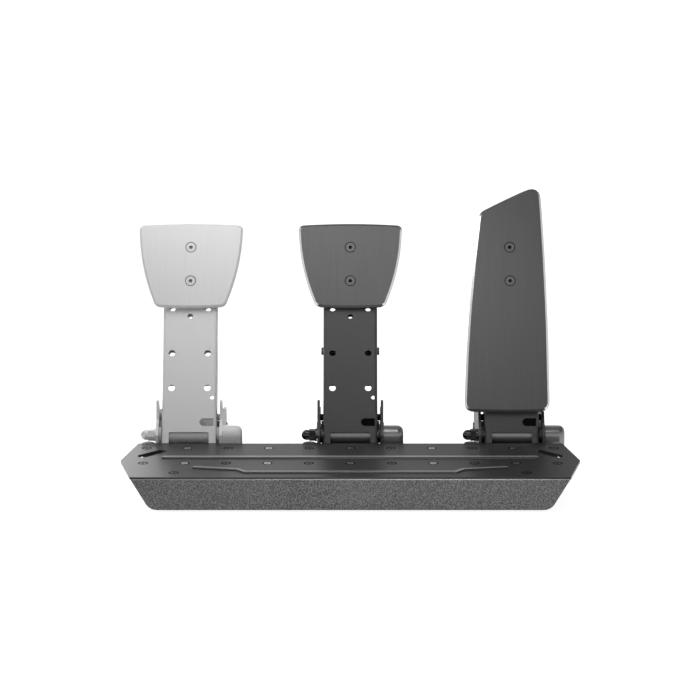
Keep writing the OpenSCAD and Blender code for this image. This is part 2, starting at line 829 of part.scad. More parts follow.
module arm_holes(depth) {
    for (u = hole_rows, s = SIDES) translate([s * hole_gap / 2, depth, u]) rotate([90, 0, 0])
        cylinder(r = hole_r, h = 2 * depth);
    translate([0, depth, centre_hole]) rotate([90, 0, 0]) cylinder(r = centre_hole_r, h = 2 * depth);
}

module arm(k) {
    color(ARM_COLOURS[k]) in_arm(k) difference() {
        intersection() {
            translate([0, 0, arm_low]) linear_extrude(arm_len[k] - arm_low) arm_section();
            translate([-arm_side - cut, 0, 0]) rotate([90, 0, 90]) linear_extrude(arm_w + 2 * cut)
                arm_side_profile(k);
        }
        translate([-window_half, -arm_front - cut, arm_low - cut])
            cube([2 * window_half, arm_t + 2 * cut, window_top - window_r - arm_low + cut]);
        translate([window_r - window_half, -arm_front - cut, window_top - 2 * window_r])
            cube([2 * (window_half - window_r), arm_t + 2 * cut, 2 * window_r]);
        for (s = SIDES) translate([s * (window_half - window_r), -arm_front - cut, window_top - window_r])
            rotate([-90, 0, 0])
            cylinder(r = window_r, h = arm_t + 2 * cut);
        translate([slot_at[0], -arm_front - cut, slot_at[1]]) rotate([-90, 0, 0])
            cylinder(r = slot_r, h = arm_t + 2 * cut);
        translate([slot_at[0], -arm_front - cut, slot_at[1] - slot_r])
            cube([arm_in - slot_at[0], arm_t + 2 * cut, 2 * slot_r]);
        translate([edge_hole[0], -arm_front - cut, edge_hole[1]]) rotate([-90, 0, 0])
            cylinder(r = edge_hole_r, h = arm_t + 2 * cut);
        translate([0, -arm_front + arm_t / 2, 0]) arm_holes(arm_t);
        for (u = [0, 1]) translate([0, -arm_front + 2 * arm_t, pad_screw_low + u * pad_screw_gap])
            rotate([90, 0, 0]) cylinder(r = pad_screw_r + run_gap, h = 3 * arm_t);
        rod_x(-arm_side - cut, arm_side + cut, axle_r + run_gap);
        translate([0, strut_back, strut_up[k]]) rod_x(-arm_side - cut, arm_side + cut, strut_pin_r + run_gap);
        stop_slot(k);
    }
}

// Two plates inside the arm's channel: one behind the pad and the holes, one over the pivot tube
module arm_back(k) {
    front = -arm_front + arm_hollow;
    color(ARM_COLOURS[k]) in_arm(k) {
        difference() {
            translate([back_gap - arm_in, front, back_low])
                cube([2 * (arm_in - back_gap), arm_t, arm_len[k] - back_low - back_short]);
            translate([0, front + arm_t / 2, 0]) arm_holes(2 * arm_t);
        }
        translate([back_gap - arm_in, front, tube_r + liner_gap])
            cube([2 * (arm_in - back_gap), arm_t, liner_h]);
    }
}

module pivot_tube(k) {
    color(ARM_COLOURS[k]) in_arm(k) difference() {
        rod_x(-arm_in, arm_in, tube_r);
        rod_x(-arm_in - cut, arm_in + cut, axle_r + run_gap);
    }
}

module axle(k) {
    color("silver") in_arm(k) {
        rod_x(-plate_out - axle_head, plate_out + magnet_at[0], axle_r);
        rod_x(-plate_out - thread_out, -plate_out, axle_thread_r);
        rod_x(plate_out + circlip_at[0], plate_out + circlip_at[1], axle_r + 2);
        rod_x(plate_out + magnet_at[0], plate_out + magnet_at[1], axle_r - 0.5);
    }
}

module axle_nut(k) {
    color(k == CLUTCH ? "gainsboro" : "darkslategray") in_arm(k) {
        difference() {
            rod_x(-plate_out - washer_at[1], -plate_out - washer_at[0], washer_r);
            rod_x(-plate_out - washer_at[1] - cut, -plate_out, axle_thread_r + run_gap);
        }
        difference() {
            union() {
                translate([-plate_out - nut_out, 0, 0]) rotate([0, 90, 0])
                    cylinder(r = nut_r, h = nut_out - washer_at[1], $fn = 6);
                rod_x(-plate_out - dome_out, -plate_out - nut_out + nut_waist, dome_r);
                translate([-plate_out - dome_out, 0, 0]) rotate([0, -90, 0]) intersection() {
                    sphere(r = dome_r);
                    cylinder(r = dome_r + cut, h = dome_r + cut);
                }
            }
            rod_x(-plate_out - thread_out - 0.5, -plate_out, axle_thread_r + run_gap);
        }
    }
}

// An outline's points moved inward, for outlines that go clockwise
function inset(points, d) =
    let (n = len(points))
    [for (i = [0 : n - 1])
        let (t = points[(i + 1) % n] - points[(i + n - 1) % n])
        points[i] + d * [t[1], -t[0]] / norm(t)];

module bevel(points, width, depth) {
    n = len(points);
    polyhedron(
        concat([for (p = points) [p[0], p[1], 0]], [for (p = inset(points, width)) [p[0], p[1], depth]]),
        concat(
            [[for (i = [n - 1 : -1 : 0]) i], [for (i = [n : 2 * n - 1]) i]],
            [for (i = [0 : n - 1]) let (j = (i + 1) % n) each [[i, j, j + n], [i, j + n, i + n]]]));
}

module pad(k) {
    back = -arm_front - pad_gap;
    color(k == CLUTCH ? "whitesmoke" : "darkslategray") in_arm(k) difference() {
        union() {
            translate([0, back, 0]) rotate([90, 0, 0]) linear_extrude(pad_t - pad_bevel_depth)
                polygon(pad_outline[k]);
            translate([0, back - pad_t + pad_bevel_depth, 0]) rotate([90, 0, 0])
                bevel(pad_outline[k], pad_bevel, pad_bevel_depth);
            for (u = [0, 1]) translate([0, -arm_front, pad_screw_low + u * pad_screw_gap]) rotate([90, 0, 0])
                cylinder(r = boss_r, h = pad_gap + cut / 2);
        }
        for (u = [0, 1]) translate([0, back - pad_t, pad_screw_low + u * pad_screw_gap]) rotate([90, 0, 0])
            screw_seat(pad_head_r, pad_screw_r, pad_t + pad_gap + cut, seat_relief, pad_ring);
    }
}

module fasteners(k) {
    back = -arm_front - pad_gap - pad_t;
    head = strut_head[k];
    color("silver") in_arm(k) {
        for (u = [0, 1]) translate([0, back, pad_screw_low + u * pad_screw_gap]) rotate([90, 0, 0])
            countersunk(
                pad_head_r, pad_screw_r, -back - arm_front + arm_t + pad_nut_h + screw_over, pad_socket_r);
        for (u = [0, 1]) translate([0, -arm_front + arm_t, pad_screw_low + u * pad_screw_gap])
            rotate([-90, 0, 0])
            difference() {
                cylinder(r = pad_nut_r, h = pad_nut_h, $fn = 6);
                translate([0, 0, -cut]) cylinder(r = pad_screw_r + run_gap, h = pad_nut_h + 2 * cut);
            }
        translate([0, strut_back, strut_up[k]]) {
            rod_x(-arm_side - head, arm_side + head, strut_pin_r);
            if (k == BRAKE) for (s = SIDES) scale([s, 1, 1]) {
                rod_x(eye_half + 0.6, arm_in - fit, strut_pin_r + spacer_wall);
                rod_x(arm_side + fit, arm_side + head, strut_pin_r + 0.6);
            }
        }
    }
}

// One pedal's strut

module strut_rod(k) {
    eye_r = strut_pin_r + eye_slack[k];
    color("silver") in_strut(k) difference() {
        union() {
            translate([0, 0, strut_len[k]]) rod_x(-eye_half, eye_half, eye_r + eye_wall);
            translate([0, 0, strut_len[k] - collar_up]) cylinder(r = rod_r + rod_collar, h = collar_up);
            translate([0, 0, strut_len[k] - collar_up]) cylinder(r = seat_r, h = collar_t);
            translate([0, 0, rod_end[k]])
                cylinder(r = rod_r, h = strut_len[k] - collar_up - rod_end[k] + cut);
        }
        translate([0, 0, strut_len[k]]) rod_x(-eye_half - cut, eye_half + cut, eye_r);
    }
}

module spring_guide(k) {
    barrel_half = plate_in - 0.6;
    bore_low = swivel_r + 3.5;
    color("dimgray") in_strut(k) difference() {
        union() {
            rod_x(-barrel_half, barrel_half, barrel_r);
            cylinder(r = guide_r, h = guide_len[k]);
            translate([0, 0, seat_low]) cylinder(r = seat_r, h = seat_t);
        }
        rod_x(-barrel_half - cut, barrel_half + cut, swivel_r + run_gap);
        translate([0, 0, bore_low]) cylinder(r = rod_r + run_gap, h = guide_len[k]);
    }
}

module brake_elastomer() {
    color("orangered") in_strut(BRAKE) translate([0, 0, seat_low + seat_t]) difference() {
        cylinder(r = seat_r + 0.6, h = elastomer_h);
        translate([0, 0, -cut]) cylinder(r = guide_r + fit, h = elastomer_h + 2 * cut);
    }
}

module brake_load_cell() {
    color("silver") in_strut(BRAKE) translate([0, 0, seat_low + seat_t + elastomer_h]) difference() {
        cylinder(r = seat_r, h = cell_h);
        translate([0, 0, -cut]) cylinder(r = guide_r + fit, h = cell_h + 2 * cut);
    }
}

// A spring's wire: straight ends that stand square on their seats, a bend at each end and the curls between.
// Each station is [turn angle, height, tangent's angle above the level].
BEND_STEPS = 4;
CURL_STEPS = 8;
WIRE_SIDES = 6;

function wire_stations(low, high, wire, turns) =
    let (b = 2 * wire,
         end = b,
         z0 = low + end + b,
         z1 = high - end - b,
         rise = atan((z1 - z0) / (turns * 2 * PI * coil_r)),
         lead = (b / coil_r) * 180 / PI)
    concat(
        [[-lead, low, 90]],
        [for (i = [0 : BEND_STEPS - 1]) let (a = (90 - rise) * i / BEND_STEPS)
            [-lead * cos(a), low + end + b * sin(a), 90 - a]],
        [for (i = [0 : turns * CURL_STEPS]) let (t = i / (turns * CURL_STEPS))
            [turns * 360 * t, z0 + (z1 - z0) * t, rise]],
        [for (i = [BEND_STEPS - 1 : -1 : 0]) let (a = (90 - rise) * i / BEND_STEPS)
            [turns * 360 + lead * cos(a), high - end - b * sin(a), 90 - a]],
        [[turns * 360 + lead, high, 90]]);

function station_point(s) = [coil_r * cos(s[0]), coil_r * sin(s[0]), s[1]];

function wire_ring(s, wire) =
    let (n = [cos(s[0]), sin(s[0]), 0],
         b = [-sin(s[0]) * sin(s[2]), cos(s[0]) * sin(s[2]), -cos(s[2])])
    [for (j = [0 : WIRE_SIDES - 1]) let (f = 360 * j / WIRE_SIDES)
        station_point(s) + wire * (cos(f) * n + sin(f) * b)];

// Least distance between stations at least most of a turn apart, less the wire's thickness
function least_gap(stations, wire) =
    let (p = [for (s = stations) station_point(s)], n = len(p))
    min([for (i = [0 : n - 1], j = [i + 6 : 1 : n - 1]) norm(p[i] - p[j])]) - 2 * wire;

module spring(k) {
    wire = spring_wire[k];
    stations = wire_stations(spring_low[k], strut_len[k] - collar_up, wire, spring_coils[k]);
    rings = len(stations);
    points = [for (s = stations) each wire_ring(s, wire)];
    walls = [for (i = [0 : rings - 2], j = [0 : WIRE_SIDES - 1])
        let (a = i * WIRE_SIDES + j, b = i * WIRE_SIDES + (j + 1) % WIRE_SIDES)
        each [[a, b, b + WIRE_SIDES], [a, b + WIRE_SIDES, a + WIRE_SIDES]]];
    last = (rings - 1) * WIRE_SIDES;
    caps = [for (j = [1 : WIRE_SIDES - 2]) each [[0, j + 1, j], [last, last + j, last + j + 1]]];
    echo(str("spring ", k, " least gap to itself ", least_gap(stations, wire)));
    color("silver") in_strut(k) polyhedron(points, concat(walls, caps), convexity = 10);
}

heel_deck();
grip_sheet();
base_tray();
deck_supports();
deck_screws_bright();
deck_screws_dark();
rubber_feet();
controller_case();
controller_cover();
controller_board();
socket_row();
axle_bushes();
stop_bars();
stop_sleeves();
swivel_pins();
module_bolts();
sensor_boards();
sensor_grommets();
ear_posts();
left_plate(CLUTCH);  // clutch_left_plate
right_plate(CLUTCH);  // clutch_right_plate
sensor_cover(CLUTCH);  // clutch_sensor_cover
arm(CLUTCH);  // clutch_arm
arm_back(CLUTCH);  // clutch_arm_back
pivot_tube(CLUTCH);  // clutch_pivot_tube
axle(CLUTCH);  // clutch_axle
axle_nut(CLUTCH);  // clutch_axle_nut
pad(CLUTCH);  // clutch_pad
fasteners(CLUTCH);  // clutch_fasteners
strut_rod(CLUTCH);  // clutch_strut_rod
spring_guide(CLUTCH);  // clutch_spring_guide
spring(CLUTCH);  // clutch_spring
left_plate(BRAKE);  // brake_left_plate
right_plate(BRAKE);  // brake_right_plate
sensor_cover(BRAKE);  // brake_sensor_cover
arm(BRAKE);  // brake_arm
arm_back(BRAKE);  // brake_arm_back
pivot_tube(BRAKE);  // brake_pivot_tube
axle(BRAKE);  // brake_axle
axle_nut(BRAKE);  // brake_axle_nut
pad(BRAKE);  // brake_pad
fasteners(BRAKE);  // brake_fasteners
strut_rod(BRAKE);  // brake_strut_rod
spring_guide(BRAKE);  // brake_spring_guide
spring(BRAKE);  // brake_spring
brake_elastomer();
brake_load_cell();
left_plate(THROTTLE);  // throttle_left_plate
right_plate(THROTTLE);  // throttle_right_plate
sensor_cover(THROTTLE);  // throttle_sensor_cover
arm(THROTTLE);  // throttle_arm
arm_back(THROTTLE);  // throttle_arm_back
pivot_tube(THROTTLE);  // throttle_pivot_tube
axle(THROTTLE);  // throttle_axle
axle_nut(THROTTLE);  // throttle_axle_nut
pad(THROTTLE);  // throttle_pad
fasteners(THROTTLE);  // throttle_fasteners
strut_rod(THROTTLE);  // throttle_strut_rod
spring_guide(THROTTLE);  // throttle_spring_guide
spring(THROTTLE);  // throttle_spring
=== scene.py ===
"""Looks of a three-pedal racing set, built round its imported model.

Each sub-assembly is a class that finds its nodes in the frame, adds the pieces that need a finer
mesh and dresses everything in procedural materials. Lengths are in metres unless a name ends in _mm.
"""

from __future__ import annotations

import json
import logging
import math
from dataclasses import dataclass, field
from enum import Enum
from typing import Any, Callable

import bmesh
import bpy
from mathutils import Matrix, Vector

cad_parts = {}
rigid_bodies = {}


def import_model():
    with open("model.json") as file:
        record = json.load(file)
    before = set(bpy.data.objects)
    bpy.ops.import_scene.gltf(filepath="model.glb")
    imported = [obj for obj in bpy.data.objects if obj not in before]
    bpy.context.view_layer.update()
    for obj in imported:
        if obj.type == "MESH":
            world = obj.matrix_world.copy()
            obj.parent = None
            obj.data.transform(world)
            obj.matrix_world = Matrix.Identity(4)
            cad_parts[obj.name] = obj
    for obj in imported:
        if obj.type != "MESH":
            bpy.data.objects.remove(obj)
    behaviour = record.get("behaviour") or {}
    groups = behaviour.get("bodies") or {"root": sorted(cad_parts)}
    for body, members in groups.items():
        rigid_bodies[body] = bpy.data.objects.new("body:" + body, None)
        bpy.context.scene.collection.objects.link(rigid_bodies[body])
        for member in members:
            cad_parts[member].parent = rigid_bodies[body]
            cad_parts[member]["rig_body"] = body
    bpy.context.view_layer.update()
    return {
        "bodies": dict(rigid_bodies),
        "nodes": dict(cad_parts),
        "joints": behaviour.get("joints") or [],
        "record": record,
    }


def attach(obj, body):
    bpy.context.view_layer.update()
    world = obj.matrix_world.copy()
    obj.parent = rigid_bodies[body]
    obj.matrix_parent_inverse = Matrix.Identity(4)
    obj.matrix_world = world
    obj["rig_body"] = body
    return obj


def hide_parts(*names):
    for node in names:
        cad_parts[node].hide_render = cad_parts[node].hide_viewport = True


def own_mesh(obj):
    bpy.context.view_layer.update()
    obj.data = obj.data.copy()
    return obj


LOG = logging.getLogger("pedal_set")

MM = 0.001
# Slack for picking corners and faces by their place
HAIR = 0.01 * MM

Colour = tuple[float, float, float]
Frame = dict[str, Any]


class Pedal(Enum):
    """The three pedals, from left to right."""

    CLUTCH = "clutch"
    BRAKE = "brake"
    THROTTLE = "throttle"


class Texture(Enum):
    """The kinds of fine surface texture that a finish can have."""

    GRAIN = "grain"
    BRUSHED = "brushed"
    GRIT = "grit"


def grey(level: float, tint: Colour = (0.0, 0.0, 0.0)) -> Colour:
    """A linear colour from a grey level as a screen shows it.

    Args:
        level: The grey level, from 0 to 255.
        tint: Levels added to red, green and blue.

    Returns:
        The colour in linear light.
    """
    shares = [max(0.0, level + add) / 255 for add in tint]
    return tuple(s / 12.92 if s <= 0.04045 else ((s + 0.055) / 1.055) ** 2.4 for s in shares)


class NodeBench:
    """Adds nodes to one node tree and links their sockets."""

    def __init__(self, tree: bpy.types.NodeTree) -> None:
        """Starts with an empty tree."""
        self.tree = tree
        tree.nodes.clear()

    def add(self, kind: str, settings: dict[str, Any] | None = None, **values: Any) -> bpy.types.Node:
        """Adds a node.

        Args:
            kind: The node's type, without the ShaderNode prefix unless it is a group's own node.
            settings: Properties of the node itself.
            values: Input sockets by name, with _ for a space, each a value or a socket to link from.

        Returns:
            The new node.
        """
        name = kind if kind.startswith("NodeGroup") else "ShaderNode" + kind
        node = self.tree.nodes.new(name)
        for key, value in (settings or {}).items():
            setattr(node, key, value)
        for key, value in values.items():
            self.feed(node.inputs[key.replace("_", " ")], value)
        return node

    def feed(self, target: bpy.types.NodeSocket, value: Any) -> None:
        """Links a socket into the target, or sets the target's own value.

        Args:
            target: The input socket.
            value: A socket, a number, a vector, or a colour with or without alpha.
        """
        if isinstance(value, bpy.types.NodeSocket):
            self.tree.links.new(value, target)
        elif target.type == "RGBA" and len(value) == 3:
            target.default_value = (*value, 1.0)
        else:
            target.default_value = value

    def maths(self, operation: str, a: Any, b: Any = 0.0) -> bpy.types.NodeSocket:
        """Adds a Math node.

        Args:
            operation: The node's operation.
            a: First input, a number or a socket.
            b: Second input, a number or a socket.

        Returns:
            The node's output.
        """
        node = self.add("Math", {"operation": operation})
        self.feed(node.inputs[0], a)
        self.feed(node.inputs[1], b)
        return node.outputs[0]

    def span(self, value: bpy.types.NodeSocket, low: float, high: float) -> bpy.types.NodeSocket:
        """Maps 0..1 to low..high and returns the output."""
        return self.add("MapRange", Value=value, To_Min=low, To_Max=high).outputs["Result"]

    def fade(self, value: bpy.types.NodeSocket, start: float, end: float) -> bpy.types.NodeSocket:
        """Makes a smooth step.

        Args:
            value: The input that rises.
            start: Where the step is 0.
            end: Where the step is 1.

        Returns:
            The node's output.
        """
        smooth = {"interpolation_type": "SMOOTHSTEP"}
        node = self.add("MapRange", smooth, Value=value, From_Min=start, From_Max=end)
        return node.outputs["Result"]

    def blend(self, share: bpy.types.NodeSocket, low: Any, high: Any) -> bpy.types.NodeSocket:
        """Goes from one value to another.

        Args:
            share: How far to go, from 0 to 1.
            low: The value at 0, a number or a socket.
            high: The value at 1, a number or a socket.

        Returns:
            The node's output.
        """
        mix = self.add("Mix", {"data_type": "FLOAT"})
        for i, value in ((0, share), (2, low), (3, high)):
            self.feed(mix.inputs[i], value)
        return mix.outputs[0]


class Effects:
    """Shader node groups that several finishes share, each built once."""

    def __init__(self) -> None:
        """Builds every group."""
        self.grain = self._grain()
        self.brushed = self._brushed()
        self.drift = self._drift()

    @staticmethod
    def _group(
        name: str, inputs: dict[str, float], outputs: tuple[str, ...]
    ) -> tuple[NodeBench, bpy.types.Node, bpy.types.Node]:
        """Makes an empty group.

        Args:
            name: The group's name.
            inputs: Number inputs with their defaults, after one vector input named Vector.
            outputs: Names of the number outputs.

        Returns:
            The bench, the group's input node and its output node.
        """
        tree = bpy.data.node_groups.new(name, "ShaderNodeTree")
        bench = NodeBench(tree)
        tree.interface.new_socket("Vector", in_out="INPUT", socket_type="NodeSocketVector")
        for key, value in inputs.items():
            socket = tree.interface.new_socket(key, in_out="INPUT", socket_type="NodeSocketFloat")
            socket.default_value = value
        for key in outputs:
            tree.interface.new_socket(key, in_out="OUTPUT", socket_type="NodeSocketFloat")
        return bench, bench.add("NodeGroupInput"), bench.add("NodeGroupOutput")

    @staticmethod
    def _swing(bench: NodeBench, given: bpy.types.Node, height: bpy.types.NodeSocket) -> bpy.types.NodeSocket:
        """Widens a height's swing about its middle by the group's contrast.

        Args:
            bench: The group's bench.
            given: The group's input node.
            height: The height, from 0 to 1.

        Returns:
            The tone, kept between 0 and 1.
        """
        centred = bench.maths("SUBTRACT", height, 0.5)
        scaled = bench.maths("MULTIPLY", centred, given.outputs["Contrast"])
        return bench.add("Clamp", Value=bench.maths("ADD", scaled, 0.5)).outputs[0]

    def _grain(self) -> bpy.types.ShaderNodeTree:
        """Builds the grain of a coat or a grit: soft noise with a share of sharper cells.

        Returns:
            The group.
        """
        inputs = {"Scale": 900.0, "Cells": 0.3, "Contrast": 1.0}
        bench, given, result = self._group("Coat grain", inputs, ("Tone", "Height"))
        scale = given.outputs["Scale"]
        place = given.outputs["Vector"]
        noise = bench.add("TexNoise", Vector=place, Scale=scale, Detail=3.0, Roughness=0.6)
        cells = bench.add("TexVoronoi", Vector=place, Scale=scale)
        height = bench.blend(given.outputs["Cells"], noise.outputs["Fac"], cells.outputs["Distance"])
        bench.feed(result.inputs["Tone"], self._swing(bench, given, height))
        bench.feed(result.inputs["Height"], height)
        return bench.tree

    def _brushed(self) -> bpy.types.ShaderNodeTree:
        """Builds brush or turning marks: noise that changes fast across X and slowly along the rest.

        Returns:
            The group.
        """
        inputs = {"Across": 1500.0, "Along": 25.0, "Contrast": 1.0}
        bench, given, result = self._group("Brush marks", inputs, ("Tone", "Height"))
        along = given.outputs["Along"]
        rates = bench.add("CombineXYZ", X=given.outputs["Across"], Y=along, Z=along)
        spread = bench.add("VectorMath", {"operation": "MULTIPLY"})
        bench.feed(spread.inputs[0], given.outputs["Vector"])
        bench.feed(spread.inputs[1], rates.outputs[0])
        noise = bench.add("TexNoise", Vector=spread.outputs[0], Scale=1.0, Detail=4.0, Roughness=0.65)
        height = noise.outputs["Fac"]
        bench.feed(result.inputs["Tone"], self._swing(bench, given, height))
        bench.feed(result.inputs["Height"], height)
        return bench.tree

    def _drift(self) -> bpy.types.ShaderNodeTree:
        """Builds the slow cloudy change of tone that handling and uneven coats leave on a large face.

        Returns:
            The group.
        """
        bench, given, result = self._group("Tone drift", {"Scale": 14.0, "Amount": 0.2}, ("Tone",))
        place = given.outputs["Vector"]
        noise = bench.add("TexNoise", Vector=place, Scale=given.outputs["Scale"], Detail=2.0)
        centred = bench.maths("SUBTRACT", noise.outputs["Fac"], 0.5)
        bench.feed(result.inputs["Tone"], bench.maths("MULTIPLY", centred, given.outputs["Amount"]))
        return bench.tree


@dataclass(frozen=True)
class Finish:
    """One surface finish, which becomes a procedural material.

    Attributes:
        name: The material's name.
        dark: Base colour in the texture's hollows.
        light: Base colour on the texture's high places.
        metallic: 1 for bare metal, 0 for coats, plastic and rubber.
        rough: Roughness on the high places and in the hollows.
        texture: The kind of fine texture.
        scale: Texture cells per metre, across the marks for a brushed texture.
        along: Texture cells per metre along brush marks.
        contrast: How far the texture's tone swings.
        relief_mm: Height of the texture.
        drift: How far the tone changes over a large face.
        specular: Specular level of the shader.
    """

    name: str
    dark: Colour
    light: Colour
    metallic: float = 0.0
    rough: tuple[float, float] = (0.4, 0.5)
    texture: Texture = Texture.GRAIN
    scale: float = 1100.0
    along: float = 25.0
    contrast: float = 1.5
    relief_mm: float = 0.02
    drift: float = 0.25
    specular: float = 0.5

    # Shares of sharp cells in a grit and in a coat's grain
    GRIT_CELLS = 0.7
    COAT_CELLS = 0.25

    def material(self, effects: Effects) -> bpy.types.Material:
        """Builds the material.

        Args:
            effects: The shared node groups.

        Returns:
            The finished material.
        """
        made = bpy.data.materials.new(self.name)
        made.use_nodes = True
        bench = NodeBench(made.node_tree)
        place = bench.add("TexCoord").outputs["Object"]
        tone, height = self._texture(bench, effects, place)
        drift = bench.add("Group", {"node_tree": effects.drift}, Vector=place, Amount=self.drift)
        mask = bench.add("Clamp", Value=bench.maths("ADD", tone, drift.outputs["Tone"])).outputs[0]
        colour = bench.add("Mix", {"data_type": "RGBA"})
        bench.feed(colour.inputs[0], mask)
        bench.feed(colour.inputs[6], self.dark)
        bench.feed(colour.inputs[7], self.light)
        bump = bench.add("Bump", Strength=1.0, Distance=self.relief_mm * MM, Height=height)
        shader = bench.add(
            "BsdfPrincipled",
            Base_Color=colour.outputs[2],
            Metallic=self.metallic,
            Roughness=bench.span(mask, self.rough[1], self.rough[0]),
            Specular_IOR_Level=self.specular,
            Normal=bump.outputs[0],
        )
        bench.add("OutputMaterial", Surface=shader.outputs[0])
        return made

    def _texture(
        self, bench: NodeBench, effects: Effects, place: bpy.types.NodeSocket
    ) -> tuple[bpy.types.NodeSocket, bpy.types.NodeSocket]:
        """Places the texture's group.

        Args:
            bench: The material's bench.
            effects: The shared node groups.
            place: Where on the object a point lies.

        Returns:
            The texture's tone and height.
        """
        if self.texture is Texture.BRUSHED:
            tree = effects.brushed
            values = {"Across": self.scale, "Along": self.along}
        else:
            tree = effects.grain
            cells = self.GRIT_CELLS if self.texture is Texture.GRIT else self.COAT_CELLS
            values = {"Scale": self.scale, "Cells": cells}
        marks = bench.add("Group", {"node_tree": tree}, Vector=place, Contrast=self.contrast, **values)
        return marks.outputs["Tone"], marks.outputs["Height"]


# Finishes by the record's material slot, as the photograph shows them
FINISHES: dict[str, Finish] = {
    "deck_coat": Finish(
        "Deck coat", grey(45), grey(57), rough=(0.28, 0.38), relief_mm=0.006, drift=0.3, specular=0.45),
    "grit": Finish(
        "Apron grit", grey(74), grey(190), rough=(0.75, 0.95), texture=Texture.GRIT, scale=720, contrast=1.5,
        relief_mm=0.25, specular=0.25),
    "tray_coat": Finish("Tray coat", grey(40), grey(56), rough=(0.45, 0.6)),
    "zinc_steel": Finish("Zinc plate", grey(150), grey(185), 1.0, (0.35, 0.5), Texture.BRUSHED, 500, 60),
    "bright_screw": Finish("Bright zinc", grey(175), grey(220), 1.0, (0.25, 0.4), scale=1500),
    "black_screw": Finish("Black oxide", grey(38), grey(60), 0.4, (0.3, 0.45), scale=1500),
    "foot_rubber": Finish("Foot rubber", grey(30), grey(46), rough=(0.8, 0.95), relief_mm=0.05, specular=0.3),
    "case_plastic": Finish("Box plastic", grey(34), grey(48), rough=(0.5, 0.65), scale=1600, relief_mm=0.04),
    "board": Finish(
        "Solder mask", grey(40, (-25, 30, -5)), grey(60, (-35, 50, -10)), rough=(0.3, 0.4), scale=400),
    "socket_plastic": Finish("Socket plastic", grey(28), grey(40), rough=(0.25, 0.35), relief_mm=0.01),
    "bush_polymer": Finish("Bearing polymer", grey(26), grey(38), rough=(0.4, 0.55), relief_mm=0.01),
    "pin_steel": Finish("Ground steel", grey(165), grey(200), 1.0, (0.2, 0.32), Texture.BRUSHED, 2400, 40),
    "sleeve_rubber": Finish(
        "Sleeve rubber", grey(24), grey(36), rough=(0.6, 0.75), relief_mm=0.02, specular=0.3),
    "module_coat": Finish("Module coat", grey(61), grey(75), rough=(0.42, 0.52), relief_mm=0.012, drift=0.2),
    "pale_coat": Finish("Pale coat", grey(236), grey(244), rough=(0.45, 0.55), relief_mm=0.012, drift=0.2),
    "cover_coat": Finish("Cover coat", grey(128), grey(144), 0.6, (0.26, 0.36), relief_mm=0.008, drift=0.2),
    "pale_cover": Finish("Pale cover", grey(232), grey(242), rough=(0.4, 0.5), relief_mm=0.008, drift=0.2),
    "dark_nut": Finish("Black nickel", grey(52), grey(72), 0.8, (0.16, 0.26), Texture.BRUSHED, 1800, 60),
    "pale_nut": Finish("Bright nickel", grey(228), grey(240), 0.2, (0.35, 0.45), Texture.BRUSHED, 1800, 60),
    "pad_anodised": Finish(
        "Anodised brush", grey(78), grey(100), 0.35, (0.4, 0.5), Texture.BRUSHED, 1500, 22, 0.9, 0.006, 0.15),
    "pale_pad": Finish(
        "Pale brush", grey(220), grey(232), 0.1, (0.42, 0.52), Texture.BRUSHED, 1300, 22, 1.4, 0.012, 0.2),
    "screw_steel": Finish("Stainless", grey(78), grey(104), 0.5, (0.34, 0.46), Texture.BRUSHED, 1500, 60),
    "guide_black": Finish("Guide anodise", grey(40), grey(58), 0.5, (0.35, 0.45), Texture.BRUSHED, 1600, 60),
    "spring_steel": Finish("Spring wire", grey(160), grey(200), 1.0, (0.22, 0.34), scale=1600),
    "elastomer": Finish("Elastomer", grey(120, (90, 0, -90)), grey(140, (95, 0, -100)), rough=(0.45, 0.6)),
    "cell_steel": Finish("Machined ring", grey(160), grey(196), 1.0, (0.25, 0.38), Texture.BRUSHED, 2000, 40),
}

# Finishes of single faces and pieces that differ from their slot's
TUBE_GLOSS = Finish("Tube gloss", grey(140), grey(160), 0.5, (0.34, 0.44), relief_mm=0.006, drift=0.2)
PALE_TUBE = Finish("Pale tube", grey(240), grey(248), 0.0, (0.35, 0.45), relief_mm=0.006, drift=0.2)
# Painted shade: the dark pedals' back channel, seen through the arm's slot, is painted near black
LINER_SHADE = Finish("Liner painted shade", grey(14), grey(24), rough=(0.6, 0.75), relief_mm=0.01, specular=0.2)
# Painted highlight along the grit sheet's top edge at the deck's bend
GRIT_EDGE_HIGHLIGHT = Finish("Grit edge painted highlight", grey(205), grey(235), 0.5, (0.35, 0.45), scale=900, relief_mm=0.02)
# Painted highlight on the crests of the deck's beads
BEAD_HIGHLIGHT = Finish("Bead painted highlight", grey(150), grey(175), 0.4, (0.34, 0.44), relief_mm=0.006, drift=0.2)
BRIGHT_EDGE = Finish(
    "Bright edge", grey(190), grey(222), 1.0, (0.2, 0.32), Texture.BRUSHED, 900, 120, 1.2, 0.004, 0.1)
# Painted shade for the recessed screw seats and sockets of the dark pedals and the deck
SEAT_SHADE = Finish("Screw seat painted shade", grey(16), grey(26), rough=(0.6, 0.75), relief_mm=0.01, specular=0.2)
# Painted shade for the pale pedal's screw seats and sockets
PALE_SEAT_SHADE = Finish("Pale seat painted shade", grey(135), grey(150), rough=(0.6, 0.75), relief_mm=0.01, specular=0.2)
PALE_SCREW = Finish("Pale steel", grey(208), grey(226), 0.3, (0.34, 0.46), Texture.BRUSHED, 1500, 60)
PALE_POLYMER = Finish("Pale polymer", grey(190), grey(204), rough=(0.5, 0.65), relief_mm=0.01)


